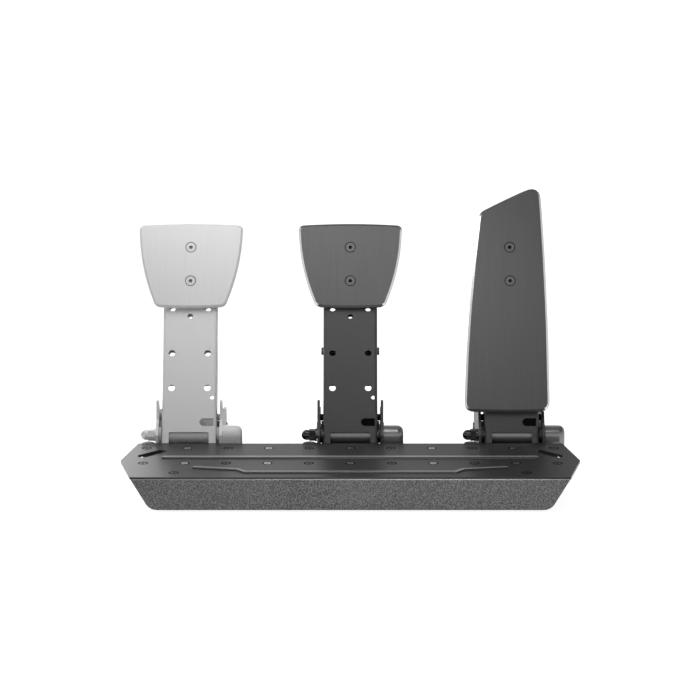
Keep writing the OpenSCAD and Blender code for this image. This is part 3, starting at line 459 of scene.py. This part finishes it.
class Wardrobe:
    """Hands out each finish's material and remembers the slot of every node."""

    def __init__(self, frame: Frame) -> None:
        """Reads the record's slots and builds the shared effects."""
        self.effects = Effects()
        self.slots = {row["node"]: row["material_slot"] for row in frame["record"]["subparts"]}
        self.made: dict[str, bpy.types.Material] = {}

    def material(self, finish: Finish) -> bpy.types.Material:
        """Looks up a finish's material, which is built on first use.

        Args:
            finish: The finish.

        Returns:
            The material.
        """
        if finish.name not in self.made:
            self.made[finish.name] = finish.material(self.effects)
        return self.made[finish.name]

    def dress(self, piece: bpy.types.Object, slot: str) -> None:
        """Puts a slot's finish on a whole piece.

        Args:
            piece: The piece.
            slot: The record's material slot.
        """
        made = self.material(FINISHES[slot])
        if not piece.data.materials:
            piece.data.materials.append(made)
        for i in range(len(piece.data.materials)):
            piece.data.materials[i] = made

    def dress_nodes(self, frame: Frame) -> None:
        """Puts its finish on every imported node."""
        for name, node in frame["nodes"].items():
            self.dress(node, self.slots[name])


def repaint(
    piece: bpy.types.Object, made: bpy.types.Material, chosen: Callable[[bpy.types.MeshPolygon], bool]
) -> None:
    """Gives some faces of a piece another material.

    Args:
        piece: The piece.
        made: The other material.
        chosen: Says of a face whether it takes the other material.
    """
    piece.data.materials.append(made)
    number = len(piece.data.materials) - 1
    for face in piece.data.polygons:
        if chosen(face):
            face.material_index = number


@dataclass
class EasedCopy:
    """A finer stand-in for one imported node: the same form, with its sharp edges eased.

    Attributes:
        node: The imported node's name.
        piece_name: The new piece's name.
        width_mm: Width of the eased edge.
        segments: Steps across the eased edge.
        shape: Changes the welded mesh before its edges are eased.
        spare: Says of an edge whether it stays sharp.
    """

    node: str
    piece_name: str
    width_mm: float = 0.3
    segments: int = 2
    shape: Callable[[bmesh.types.BMesh], None] | None = None
    spare: Callable[[bmesh.types.BMEdge], bool] | None = None

    # Edges that turn by less than SHARP stay as they are, because they belong to round stretches. Faces
    # that turn by less than FLAT are joined, and edges that turn by more than CREASE aren't shaded smooth
    SHARP = math.radians(32)
    FLAT = math.radians(0.6)
    CREASE = math.radians(80)
    WELD = 0.002 * MM

    def build(self, frame: Frame, wardrobe: Wardrobe) -> bpy.types.Object:
        """Copies the node's mesh, eases its edges and lets the copy stand for the node.

        Args:
            frame: The loaded frame.
            wardrobe: The finishes.

        Returns:
            The new piece.
        """
        source = frame["nodes"][self.node]
        piece = bpy.data.objects.new(self.piece_name, source.data.copy())
        bpy.context.scene.collection.objects.link(piece)
        self._flatten(piece.data)
        self._ease(piece)
        slot = wardrobe.slots[self.node]
        wardrobe.dress(piece, slot)
        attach(piece, source["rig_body"])
        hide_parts(self.node)
        LOG.info("%s stands for %s, with %d faces", self.piece_name, self.node, len(piece.data.polygons))
        return piece

    def _flatten(self, mesh: bpy.types.Mesh) -> None:
        """Welds the mesh and joins its flat triangles, so that only real edges are left.

        Args:
            mesh: The mesh, which is changed in place.
        """
        work = bmesh.new()
        work.from_mesh(mesh)
        bmesh.ops.remove_doubles(work, verts=work.verts, dist=self.WELD)
        bmesh.ops.dissolve_limit(
            work, angle_limit=self.FLAT, verts=work.verts, edges=work.edges, use_dissolve_boundaries=False)
        if self.shape:
            self.shape(work)
        if self.spare:
            eased = work.edges.layers.float.new("bevel_weight_edge")
            for edge in work.edges:
                turned = len(edge.link_faces) == 2 and edge.calc_face_angle() > self.SHARP
                edge[eased] = float(turned and not self.spare(edge))
        work.to_mesh(mesh)
        work.free()
        if "custom_normal" in mesh.attributes:
            mesh.attributes.remove(mesh.attributes["custom_normal"])
        mesh.shade_smooth()
        mesh.set_sharp_from_angle(angle=self.CREASE)

    def _ease(self, piece: bpy.types.Object) -> None:
        """Bevels the sharp edges and shades the round stretches smooth.

        Args:
            piece: The piece, whose mesh is replaced.
        """
        bevel = piece.modifiers.new("ease", "BEVEL")
        bevel.width = self.width_mm * MM
        bevel.segments = self.segments
        bevel.limit_method = "WEIGHT" if self.spare else "ANGLE"
        bevel.angle_limit = self.SHARP
        bevel.use_clamp_overlap = True
        bevel.miter_outer = "MITER_ARC"
        weigh = piece.modifiers.new("weigh", "WEIGHTED_NORMAL")
        weigh.mode = "FACE_AREA"
        weigh.weight = 100
        weigh.keep_sharp = True
        eased = piece.evaluated_get(bpy.context.evaluated_depsgraph_get())
        settled = bpy.data.meshes.new_from_object(eased)
        piece.modifiers.clear()
        piece.data = settled


@dataclass
class HeelDeck:
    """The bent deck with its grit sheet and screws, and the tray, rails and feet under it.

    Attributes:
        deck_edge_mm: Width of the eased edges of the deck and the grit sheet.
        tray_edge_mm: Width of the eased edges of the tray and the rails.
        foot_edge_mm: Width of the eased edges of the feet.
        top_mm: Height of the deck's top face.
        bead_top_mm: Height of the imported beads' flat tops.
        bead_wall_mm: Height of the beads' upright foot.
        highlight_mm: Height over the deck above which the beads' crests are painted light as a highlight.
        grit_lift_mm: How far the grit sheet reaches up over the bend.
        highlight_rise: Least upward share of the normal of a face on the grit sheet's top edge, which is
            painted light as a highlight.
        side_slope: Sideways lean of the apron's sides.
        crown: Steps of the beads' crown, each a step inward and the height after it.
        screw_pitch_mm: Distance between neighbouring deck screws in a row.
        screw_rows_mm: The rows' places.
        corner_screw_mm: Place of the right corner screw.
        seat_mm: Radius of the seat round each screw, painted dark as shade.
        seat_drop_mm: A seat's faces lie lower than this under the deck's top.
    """

    deck_edge_mm: float = 0.35
    tray_edge_mm: float = 0.4
    foot_edge_mm: float = 0.5
    top_mm: float = 33.0
    bead_top_mm: float = 34.4
    bead_wall_mm: float = 0.2
    highlight_mm: float = 1.25
    grit_lift_mm: float = 0.9
    highlight_rise: float = 0.3
    side_slope: float = 0.63
    crown: tuple[tuple[float, float], ...] = (
        (0.25, 0.5), (0.35, 0.85), (0.45, 1.12), (0.55, 1.3), (0.65, 1.4))
    screw_pitch_mm: float = 37.75
    screw_rows_mm: tuple[float, float] = (-17.2, -67.5)
    corner_screw_mm: tuple[float, float] = (159.0, -98.7)
    seat_mm: float = 4.75
    seat_drop_mm: float = 0.05

    def build(self, frame: Frame, wardrobe: Wardrobe) -> None:
        """Eases the sheets' edges, crowns the beads, paints highlights on their crests and the grit's top
        edge, paints shade into the screw seats and coats the rails.

        Args:
            frame: The loaded frame.
            wardrobe: The finishes.
        """
        highlight_from = (self.top_mm + self.highlight_mm) * MM
        deck_copy = EasedCopy("heel_deck", "deck_sheet", self.deck_edge_mm, shape=self._crown_beads)
        deck = deck_copy.build(frame, wardrobe)
        # Painted shade: the deck screws' rings and bores are painted near black
        repaint(deck, wardrobe.material(SEAT_SHADE), self._in_seat)
        # Painted highlight: the beads' crests are painted lighter than the deck
        repaint(deck, wardrobe.material(BEAD_HIGHLIGHT), lambda face: face.center.z > highlight_from)
        grit_copy = EasedCopy("grip_sheet", "grit_sheet", self.deck_edge_mm, 1, self._lift_grit)
        grit = grit_copy.build(frame, wardrobe)
        # The grit sheet's upward-facing top edge is painted light as a highlight
        repaint(grit, wardrobe.material(GRIT_EDGE_HIGHLIGHT), lambda face: face.normal.z > self.highlight_rise)
        EasedCopy("base_tray", "floor_tray", self.tray_edge_mm).build(frame, wardrobe)
        rails = EasedCopy("deck_supports", "deck_rails", self.tray_edge_mm, 1).build(frame, wardrobe)
        rails.data.materials[0] = wardrobe.material(FINISHES["tray_coat"])
        EasedCopy("rubber_feet", "floor_feet", self.foot_edge_mm).build(frame, wardrobe)

    def _lift_grit(self, work: bmesh.types.BMesh) -> None:
        """Lets the grit sheet's top edge reach up over the start of the bend, on the line of its sides.

        Args:
            work: The sheet's welded mesh.
        """
        top = max(vertex.co.z for vertex in work.verts)
        for vertex in work.verts:
            if vertex.co.z > top - HAIR:
                vertex.co.z += self.grit_lift_mm * MM
                vertex.co.x += math.copysign(self.grit_lift_mm * self.side_slope * MM, vertex.co.x)

    def _crown_beads(self, work: bmesh.types.BMesh) -> None:
        """Turns the flat top of each bead into a round crown.

        Args:
            work: The deck's welded mesh.
        """
        flat = self.bead_top_mm * MM - HAIR
        tops = [face for face in work.faces if min(vertex.co.z for vertex in face.verts) > flat]
        for vertex in {vertex for face in tops for vertex in face.verts}:
            vertex.co.z = (self.top_mm + self.bead_wall_mm) * MM
        for face in tops:
            for inward, height in self.crown:
                bmesh.ops.inset_region(work, faces=[face], thickness=inward * MM, use_even_offset=True)
                for vertex in face.verts:
                    vertex.co.z = (self.top_mm + height) * MM

    def _in_seat(self, face: bpy.types.MeshPolygon) -> bool:
        """Says whether a face belongs to the open ring or bore of a deck screw, which is painted dark as
        shade.

        Args:
            face: A face of the deck.

        Returns:
            True if it does.
        """
        x, y, z = (value / MM for value in face.center)
        if z > self.top_mm - self.seat_drop_mm or y < self.corner_screw_mm[1] - self.seat_mm:
            return False
        near = round(x / self.screw_pitch_mm) * self.screw_pitch_mm
        rows = [math.hypot(x - near, y - row) for row in self.screw_rows_mm]
        corner = math.hypot(abs(x) - self.corner_screw_mm[0], y - self.corner_screw_mm[1])
        return min(*rows, corner) < self.seat_mm


@dataclass
class Bearings:
    """The bushes and the stops' sleeves of all three pedals, with those of the clutch in pale polymer.

    Attributes:
        edge_mm: Width of the eased edges.
        clutch_side_x: Place across the set that the clutch's pieces lie left of.
    """

    edge_mm: float = 0.2
    clutch_side_x: float = -0.08

    def build(self, frame: Frame, wardrobe: Wardrobe) -> None:
        """Eases both groups and gives the clutch's pieces their colour.

        Args:
            frame: The loaded frame.
            wardrobe: The finishes.
        """
        for node, name in (("axle_bushes", "bush_set"), ("stop_sleeves", "sleeve_set")):
            group = EasedCopy(node, name, self.edge_mm, 1).build(frame, wardrobe)
            repaint(group, wardrobe.material(PALE_POLYMER), lambda face: face.center.x < self.clutch_side_x)


@dataclass
class ControllerBox:
    """The electronics box behind the deck.

    Attributes:
        shell_edge_mm: Width of the shells' eased edges.
    """

    shell_edge_mm: float = 0.6

    def build(self, frame: Frame, wardrobe: Wardrobe) -> None:
        """Eases the two shells."""
        EasedCopy("controller_case", "box_shell", self.shell_edge_mm).build(frame, wardrobe)
        EasedCopy("controller_cover", "box_lid", self.shell_edge_mm).build(frame, wardrobe)


@dataclass
class Coil:
    """A compression spring along a strut, from its lower seat to the rod's collar.

    Attributes:
        pedal: The pedal whose strut carries it.
        low_mm: Distance of the lower end from the swivel pin.
        wire_mm: Diameter of the wire.
        turns: Curls between the two ends.
        radius_mm: Mean radius of the curls.
    """

    pedal: Pedal
    low_mm: float
    wire_mm: float
    turns: float
    radius_mm: float = 8.6

    # Points along each curl and faces round the wire
    STEPS = 24
    SIDES = 12
    # Length of the closed stretch at each end, in curls, and how fast it climbs
    CLOSED_TURNS = 0.75
    CLOSED_PACE = 0.35

    def build(self, frame: Frame, wardrobe: Wardrobe) -> bpy.types.Object:
        """Sweeps the wire round the strut and fixes the spring to the strut's guide.

        Args:
            frame: The loaded frame.
            wardrobe: The finishes.

        Returns:
            The spring.
        """
        name = self.pedal.value
        joints = {joint["name"]: joint for joint in frame["joints"]}
        foot = Vector(joints[f"{name}_guide_swing"]["pos_m"])
        slide = joints[f"{name}_rod_slide"]
        up = -Vector(slide["axis"]).normalized()
        node = f"{name}_spring"
        top = self._top(frame, node, foot, up)
        length = top - self.low_mm * MM
        piece = bpy.data.objects.new(f"{name}_coil", self._wire(foot, up, length))
        bpy.context.scene.collection.objects.link(piece)
        slot = wardrobe.slots[node]
        wardrobe.dress(piece, slot)
        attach(piece, f"{name}_guide")
        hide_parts(node)
        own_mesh(piece)
        LOG.info("%s: %.0f turns over %.1f mm", piece.name, self.turns, length / MM)
        return piece

    def _climb(self, share: float) -> float:
        """Works out how far a point has climbed, slowly over the closed ends and steadily between them.

        Args:
            share: How far along the wire the point is, from 0 to 1.

        Returns:
            The share of the climb.
        """
        closed = self.CLOSED_TURNS / self.turns
        steady = 1 / (1 - 2 * closed * (1 - self.CLOSED_PACE))
        low = min(share, closed)
        between = min(max(share - closed, 0), 1 - 2 * closed)
        high = max(share - 1 + closed, 0)
        return steady * (self.CLOSED_PACE * low + between + self.CLOSED_PACE * high)

    @staticmethod
    def _top(frame: Frame, node: str, foot: Vector, up: Vector) -> float:
        """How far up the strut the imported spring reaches."""
        return max((vertex.co - foot).dot(up) for vertex in frame["nodes"][node].data.vertices)

    def _wire(self, foot: Vector, up: Vector, length: float) -> bpy.types.Mesh:
        """The wire's mesh: curls that rise steadily between closed turns at the seats.

        Args:
            foot: The swivel pin's place.
            up: The strut's direction.
            length: The spring's length.

        Returns:
            The mesh.
        """
        wire = self.wire_mm * MM / 2
        radius = self.radius_mm * MM
        side = Vector((1, 0, 0))
        out = up.cross(side).normalized()
        count = round(self.turns * self.STEPS)
        rise = length - 2 * wire
        line = []
        for i in range(count + 1):
            share = i / count
            angle = 2 * math.pi * self.turns * share
            height = self.low_mm * MM + wire + rise * self._climb(share)
            line.append(foot + up * height + (side * math.cos(angle) + out * math.sin(angle)) * radius)
        return tube_mesh("coil", line, wire, self.SIDES)


# Edges of a tube that turn by more than this, at its flat ends, aren't shaded smooth
TUBE_CREASE = math.radians(50)


def tube_mesh(name: str, line: list[Vector], radius: float, sides: int) -> bpy.types.Mesh:
    """A closed round tube along a line of points.

    Args:
        name: The mesh's name.
        line: Points along the tube's middle.
        radius: The tube's radius.
        sides: Faces round the tube.

    Returns:
        The mesh.
    """
    work = bmesh.new()
    rings = []
    across = None
    for i, point in enumerate(line):
        ahead = (line[min(i + 1, len(line) - 1)] - line[max(i - 1, 0)]).normalized()
        across = ahead.orthogonal() if across is None else across - ahead * across.dot(ahead)
        across.normalize()
        over = ahead.cross(across)
        angles = [2 * math.pi * k / sides for k in range(sides)]
        spokes = [across * math.cos(angle) + over * math.sin(angle) for angle in angles]
        rings.append([work.verts.new(point + spoke * radius) for spoke in spokes])
    for low, high in zip(rings, rings[1:]):
        for k in range(sides):
            nxt = (k + 1) % sides
            work.faces.new((low[k], low[nxt], high[nxt], high[k]))
    work.faces.new(list(reversed(rings[0])))
    work.faces.new(rings[-1])
    bmesh.ops.recalc_face_normals(work, faces=work.faces)
    mesh = bpy.data.meshes.new(name)
    work.to_mesh(mesh)
    work.free()
    mesh.shade_smooth()
    mesh.set_sharp_from_angle(angle=TUBE_CREASE)
    return mesh


@dataclass(frozen=True)
class PadPlane:
    """Measures places along a pad and behind its front.

    Attributes:
        normal: The direction that the pad faces.
        front: How far along that direction the pad's front lies.
        middle: The pad's middle.
        screws: A point on the middle line of each pad screw.
    """

    normal: Vector
    front: float
    middle: Vector
    screws: tuple[Vector, ...]

    def across(self, span: Vector) -> Vector:
        """The share of a span that lies in the pad's plane."""
        return span - self.normal * span.dot(self.normal)

    def from_screw(self, point: Vector) -> float:
        """A point's distance from the nearer screw's middle line, in millimetres."""
        return min(self.across(point - screw).length for screw in self.screws) / MM

    def depth(self, point: Vector) -> float:
        """How deep a point lies behind the pad's front, in millimetres."""
        return (self.front - point.dot(self.normal)) / MM


@dataclass
class PedalModule:
    """One pedal: its side plates, arm, pad and strut.

    Attributes:
        pedal: Which pedal it is.
        coil: Its spring.
        plate_edge_mm: Width of the side plates' and the cover's eased edges.
        arm_edge_mm: Width of the arm's eased edges.
        nut_edge_mm: Width of the axle nut's eased edges.
        pad_edge_mm: Width of the pad's eased edges.
        screw_edge_mm: Width of the fasteners' eased edges.
        pad_lean_deg: How far the pad leans back.
        screw_heights_mm: Distances of the pad's screws from the axle, along the arm.
        seat_mm: Radius of the seat round each pad screw, painted dark as shade.
        seat_depth_mm: The seat's faces lie deeper than this behind the pad's front.
        socket_mm: Greatest reach of a pad screw's hexagon socket.
        socket_depth_mm: Depths between which the socket lies behind the pad's front.
        edge_turn: Least sideways share of a bright edge's normal.
        edge_front: Greatest forward share of a bright edge's normal.
    """

    pedal: Pedal
    coil: Coil
    plate_edge_mm: float = 0.3
    arm_edge_mm: float = 0.35
    nut_edge_mm: float = 0.25
    pad_edge_mm: float = 0.15
    screw_edge_mm: float = 0.1
    pad_lean_deg: float = 28.0
    screw_heights_mm: tuple[float, float] = (145.5, 178.5)
    seat_mm: float = 5.6
    seat_depth_mm: float = 0.05
    socket_mm: float = 2.0
    socket_depth_mm: tuple[float, float] = (0.25, 3.5)
    edge_turn: float = 0.22
    edge_front: float = 0.93

    def build(self, frame: Frame, wardrobe: Wardrobe) -> None:
        """Builds the module's finer pieces.

        Args:
            frame: The loaded frame.
            wardrobe: The finishes.
        """
        name = self.pedal.value
        for part in ("left_plate", "right_plate", "sensor_cover"):
            node = f"{name}_{part}"
            EasedCopy(node, f"{node}_sheet", self.plate_edge_mm).build(frame, wardrobe)
        EasedCopy(f"{name}_arm", f"{name}_arm_channel", self.arm_edge_mm).build(frame, wardrobe)
        channel = EasedCopy(f"{name}_arm_back", f"{name}_arm_back_channel", self.arm_edge_mm)
        liner = channel.build(frame, wardrobe)
        EasedCopy(f"{name}_axle_nut", f"{name}_acorn_nut", self.nut_edge_mm).build(frame, wardrobe)
        self._dress_pad(frame, wardrobe)
        tube = frame["nodes"][f"{name}_pivot_tube"]
        tube.data.materials[0] = wardrobe.material(PALE_TUBE if self._pale else TUBE_GLOSS)
        # The back channel behind the arm's slot is painted near black as shade on the dark pedals
        if not self._pale:
            liner.data.materials[0] = wardrobe.material(LINER_SHADE)
        self.coil.build(frame, wardrobe)

    @property
    def _pale(self) -> bool:
        """Whether this is the pale pedal."""
        return self.pedal is Pedal.CLUTCH

    def _plane(self, frame: Frame) -> PadPlane:
        """Finds the pad's plane and its screws.

        Args:
            frame: The loaded frame.

        Returns:
            The pad's plane.
        """
        name = self.pedal.value
        lean = math.radians(self.pad_lean_deg)
        normal = Vector((0, -math.cos(lean), math.sin(lean)))
        up = Vector((0, normal.z, -normal.y))
        corners = [vertex.co for vertex in frame["nodes"][f"{name}_pad"].data.vertices]
        pivot = next(joint for joint in frame["joints"] if joint["name"] == f"{name}_pivot")
        axle = Vector(pivot["pos_m"])
        return PadPlane(
            normal=normal,
            front=max(corner.dot(normal) for corner in corners),
            middle=sum(corners, Vector()) / len(corners),
            screws=tuple(axle + up * height * MM for height in self.screw_heights_mm),
        )

    def _dress_pad(self, frame: Frame, wardrobe: Wardrobe) -> None:
        """Builds the pad and its screws, with bright side edges and painted shade in the screw seats and
        sockets.

        Args:
            frame: The loaded frame.
            wardrobe: The finishes.
        """
        name = self.pedal.value
        plane = self._plane(frame)
        low, high = self.socket_depth_mm

        def by_screw(edge: bmesh.types.BMEdge) -> bool:
            """Says whether an edge belongs to a screw's seat."""
            return plane.from_screw(edge.verts[0].co) < self.seat_mm

        def on_edge(face: bpy.types.MeshPolygon) -> bool:
            """Says whether a face belongs to the bevel or the sides, left or right."""
            sideways = abs(face.normal.x) > self.edge_turn
            turned = sideways and abs(face.normal.dot(plane.normal)) < self.edge_front
            return turned and face.normal.dot(plane.across(face.center - plane.middle)) > 0

        def in_seat(face: bpy.types.MeshPolygon) -> bool:
            """Says whether a face belongs to a screw's seat in the pad, which takes painted shade."""
            near = plane.from_screw(face.center) < self.seat_mm
            return near and plane.depth(face.center) > self.seat_depth_mm

        def in_socket(face: bpy.types.MeshPolygon) -> bool:
            """Says whether a face belongs to a screw's hexagon socket, which takes painted shade."""
            near = plane.from_screw(face.center) < self.socket_mm
            return near and low < plane.depth(face.center) < high

        plate = EasedCopy(f"{name}_pad", f"{name}_foot_plate", self.pad_edge_mm, spare=by_screw)
        pad = plate.build(frame, wardrobe)
        if not self._pale:
            repaint(pad, wardrobe.material(BRIGHT_EDGE), on_edge)
        # Painted shade for the pad's screw seats and the screws' hexagon sockets
        dark = wardrobe.material(PALE_SEAT_SHADE if self._pale else SEAT_SHADE)
        repaint(pad, dark, in_seat)
        screws = EasedCopy(f"{name}_fasteners", f"{name}_screw_set", self.screw_edge_mm, 1)
        screw_set = screws.build(frame, wardrobe)
        if self._pale:
            screw_set.data.materials[0] = wardrobe.material(PALE_SCREW)
        repaint(screw_set, dark, in_socket)


@dataclass(frozen=True)
class Lamp:
    """A soft rectangular lamp.

    Attributes:
        name: The lamp's name.
        place: Where its middle is.
        aim: The point that it faces.
        width: Its width.
        height: Its height.
        radiance: How bright its face is, where 1 is white.
    """

    name: str
    place: tuple[float, float, float]
    aim: tuple[float, float, float]
    width: float
    height: float
    radiance: float

    def build(self) -> bpy.types.Object:
        """Makes the lamp, which the camera doesn't see.

        Returns:
            The lamp.
        """
        data = bpy.data.lights.new(self.name, "AREA")
        data.shape = "RECTANGLE"
        data.size = self.width
        data.size_y = self.height
        data.energy = self.radiance * math.pi * self.width * self.height
        lamp = bpy.data.objects.new(self.name, data)
        lamp.location = self.place
        lamp.rotation_euler = (Vector(self.aim) - Vector(self.place)).to_track_quat("-Z", "Y").to_euler()
        lamp.visible_camera = False
        bpy.context.scene.collection.objects.link(lamp)
        return lamp


# A near lamp over the pads, far ones in front and behind, and a low panel beside the deck's left end
LAMPS = (
    Lamp("key_lamp", (-0.08, -0.08, 0.46), (0.0, 0.02, 0.12), 0.7, 0.16, 3.2),
    Lamp("front_lamp", (-0.9, -2.4, 0.9), (0.0, 0.0, 0.1), 1.6, 1.2, 0.6),
    Lamp("back_lamp", (0.3, 1.7, 1.5), (0.0, 0.0, 0.1), 1.6, 1.2, 0.7),
    Lamp("left_panel", (-0.62, 0.56, 0.24), (-0.62, -0.5, 0.24), 0.78, 0.46, 1.8),
)


@dataclass
class Studio:
    """A white floor and backdrop, soft lamps and the camera.

    Attributes:
        tilt_deg: How far the camera looks down.
        eye: The camera's place.
        lens_mm: The camera's focal length.
        far_end: How far the camera sees.
        floor_size: Width of the floor.
        floor_white: The floor's colour under the lamps.
        floor_glow: The backdrop's own white on the floor, for the camera and for gloss.
        sky: The world's strength as a light.
        ceiling: The world's strength overhead, as gloss sees it.
        rear: The world's strength low behind the object, as gloss sees it, on the left and on the right.
        ceiling_from: Upward shares of a ray between which the ceiling sets in.
        rear_from: Backward shares of a ray between which the rear sets in.
        rear_above: Upward shares of a ray between which the rear sets in over the floor.
        rear_split: Sideways shares of a ray between which the rear turns from left to right.
    """

    tilt_deg: float = 13.81
    eye: Vector = field(default_factory=lambda: Vector((-0.0003, -2.5875, 0.7585)))
    lens_mm: float = 148.0
    far_end: float = 50.0
    floor_size: float = 14.0
    floor_white: Colour = (0.92, 0.92, 0.92)
    floor_glow: float = 0.9
    sky: float = 0.17
    ceiling: float = 0.12
    rear: tuple[float, float] = (0.85, 0.1)
    ceiling_from: tuple[float, float] = (0.32, 0.62)
    rear_from: tuple[float, float] = (0.55, 0.85)
    rear_above: tuple[float, float] = (0.02, 0.16)
    rear_split: tuple[float, float] = (-0.07, 0.07)

    def build(self) -> None:
        """Builds the floor, the world, the lamps and the camera."""
        self._floor()
        self._world()
        for lamp in LAMPS:
            lamp.build()
        self._camera()

    @staticmethod
    def _backdrop_ray(bench: NodeBench) -> bpy.types.NodeSocket:
        """Tells the backdrop's rays from those that light the object.

        Args:
            bench: The bench of the floor's material.

        Returns:
            1 for rays that see a surface straight, in gloss or through glass, else 0.
        """
        path = bench.add("LightPath")
        seen = bench.maths("MAXIMUM", path.outputs["Is Camera Ray"], path.outputs["Is Glossy Ray"])
        return bench.maths("MAXIMUM", seen, path.outputs["Is Transmission Ray"])

    def _floor(self) -> None:
        """A white floor that keeps the object's shadow and meets the white backdrop."""
        half = self.floor_size / 2
        mesh = bpy.data.meshes.new("floor")
        corners = [(-half, -half, 0), (half, -half, 0), (half, half, 0), (-half, half, 0)]
        mesh.from_pydata(corners, [], [(0, 1, 2, 3)])
        floor = bpy.data.objects.new("floor", mesh)
        bpy.context.scene.collection.objects.link(floor)
        made = bpy.data.materials.new("Floor white")
        made.use_nodes = True
        bench = NodeBench(made.node_tree)
        plain = bench.add("BsdfDiffuse", Color=self.floor_white)
        strength = bench.maths("MULTIPLY", self._backdrop_ray(bench), self.floor_glow)
        glow = bench.add("Emission", Color=(1.0, 1.0, 1.0), Strength=strength)
        both = bench.add("AddShader")
        bench.feed(both.inputs[0], plain.outputs[0])
        bench.feed(both.inputs[1], glow.outputs[0])
        bench.add("OutputMaterial", Surface=both.outputs[0])
        mesh.materials.append(made)

    def _world(self) -> None:
        """White for the camera, a white studio with a dark ceiling for gloss, and softer as a light."""
        world = bpy.data.worlds.new("studio")
        world.use_nodes = True
        bpy.context.scene.world = world
        bench = NodeBench(world.node_tree)
        ray = bench.add("SeparateXYZ", Vector=bench.add("TexCoord").outputs["Generated"])
        overhead = bench.fade(ray.outputs["Z"], *self.ceiling_from)
        behind = bench.fade(ray.outputs["Y"], *self.rear_from)
        raised = bench.fade(ray.outputs["Z"], *self.rear_above)
        backdrop = bench.blend(bench.fade(ray.outputs["X"], *self.rear_split), *self.rear)
        rear = bench.blend(bench.maths("MULTIPLY", behind, raised), 1.0, backdrop)
        ceiling = bench.span(overhead, 1.0, self.ceiling)
        gloss = bench.maths("MINIMUM", rear, ceiling)
        path = bench.add("LightPath")
        straight = bench.maths("MAXIMUM", path.outputs["Is Camera Ray"], path.outputs["Is Transmission Ray"])
        shown = bench.blend(path.outputs["Is Glossy Ray"], self.sky, gloss)
        strength = bench.blend(straight, shown, 1.0)
        sky = bench.add("Background", Color=(1.0, 1.0, 1.0), Strength=strength)
        bench.add("OutputWorld", Surface=sky.outputs[0])

    def _camera(self) -> None:
        """The camera, at the photograph's viewing angle."""
        data = bpy.data.cameras.new("camera")
        data.lens = self.lens_mm
        data.clip_end = self.far_end
        camera = bpy.data.objects.new("camera", data)
        tilt = Matrix.Rotation(math.radians(90 - self.tilt_deg), 4, "X")
        camera.matrix_world = Matrix.Translation(self.eye) @ tilt
        bpy.context.scene.collection.objects.link(camera)
        bpy.context.scene.camera = camera


# The springs of the three pedals, from left to right
SPRINGS = (
    Coil(Pedal.CLUTCH, low_mm=12.0, wire_mm=2.4, turns=7),
    Coil(Pedal.BRAKE, low_mm=33.0, wire_mm=3.4, turns=5),
    Coil(Pedal.THROTTLE, low_mm=12.0, wire_mm=2.4, turns=7),
)


def main() -> None:
    """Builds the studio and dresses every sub-assembly."""
    logging.basicConfig(level=logging.INFO, format="%(name)s: %(message)s")
    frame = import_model()
    bpy.context.scene.view_settings.view_transform = "Standard"
    Studio().build()
    wardrobe = Wardrobe(frame)
    wardrobe.dress_nodes(frame)
    HeelDeck().build(frame, wardrobe)
    Bearings().build(frame, wardrobe)
    ControllerBox().build(frame, wardrobe)
    for spring in SPRINGS:
        PedalModule(spring.pedal, spring).build(frame, wardrobe)


if __name__ == "__main__":
    main()
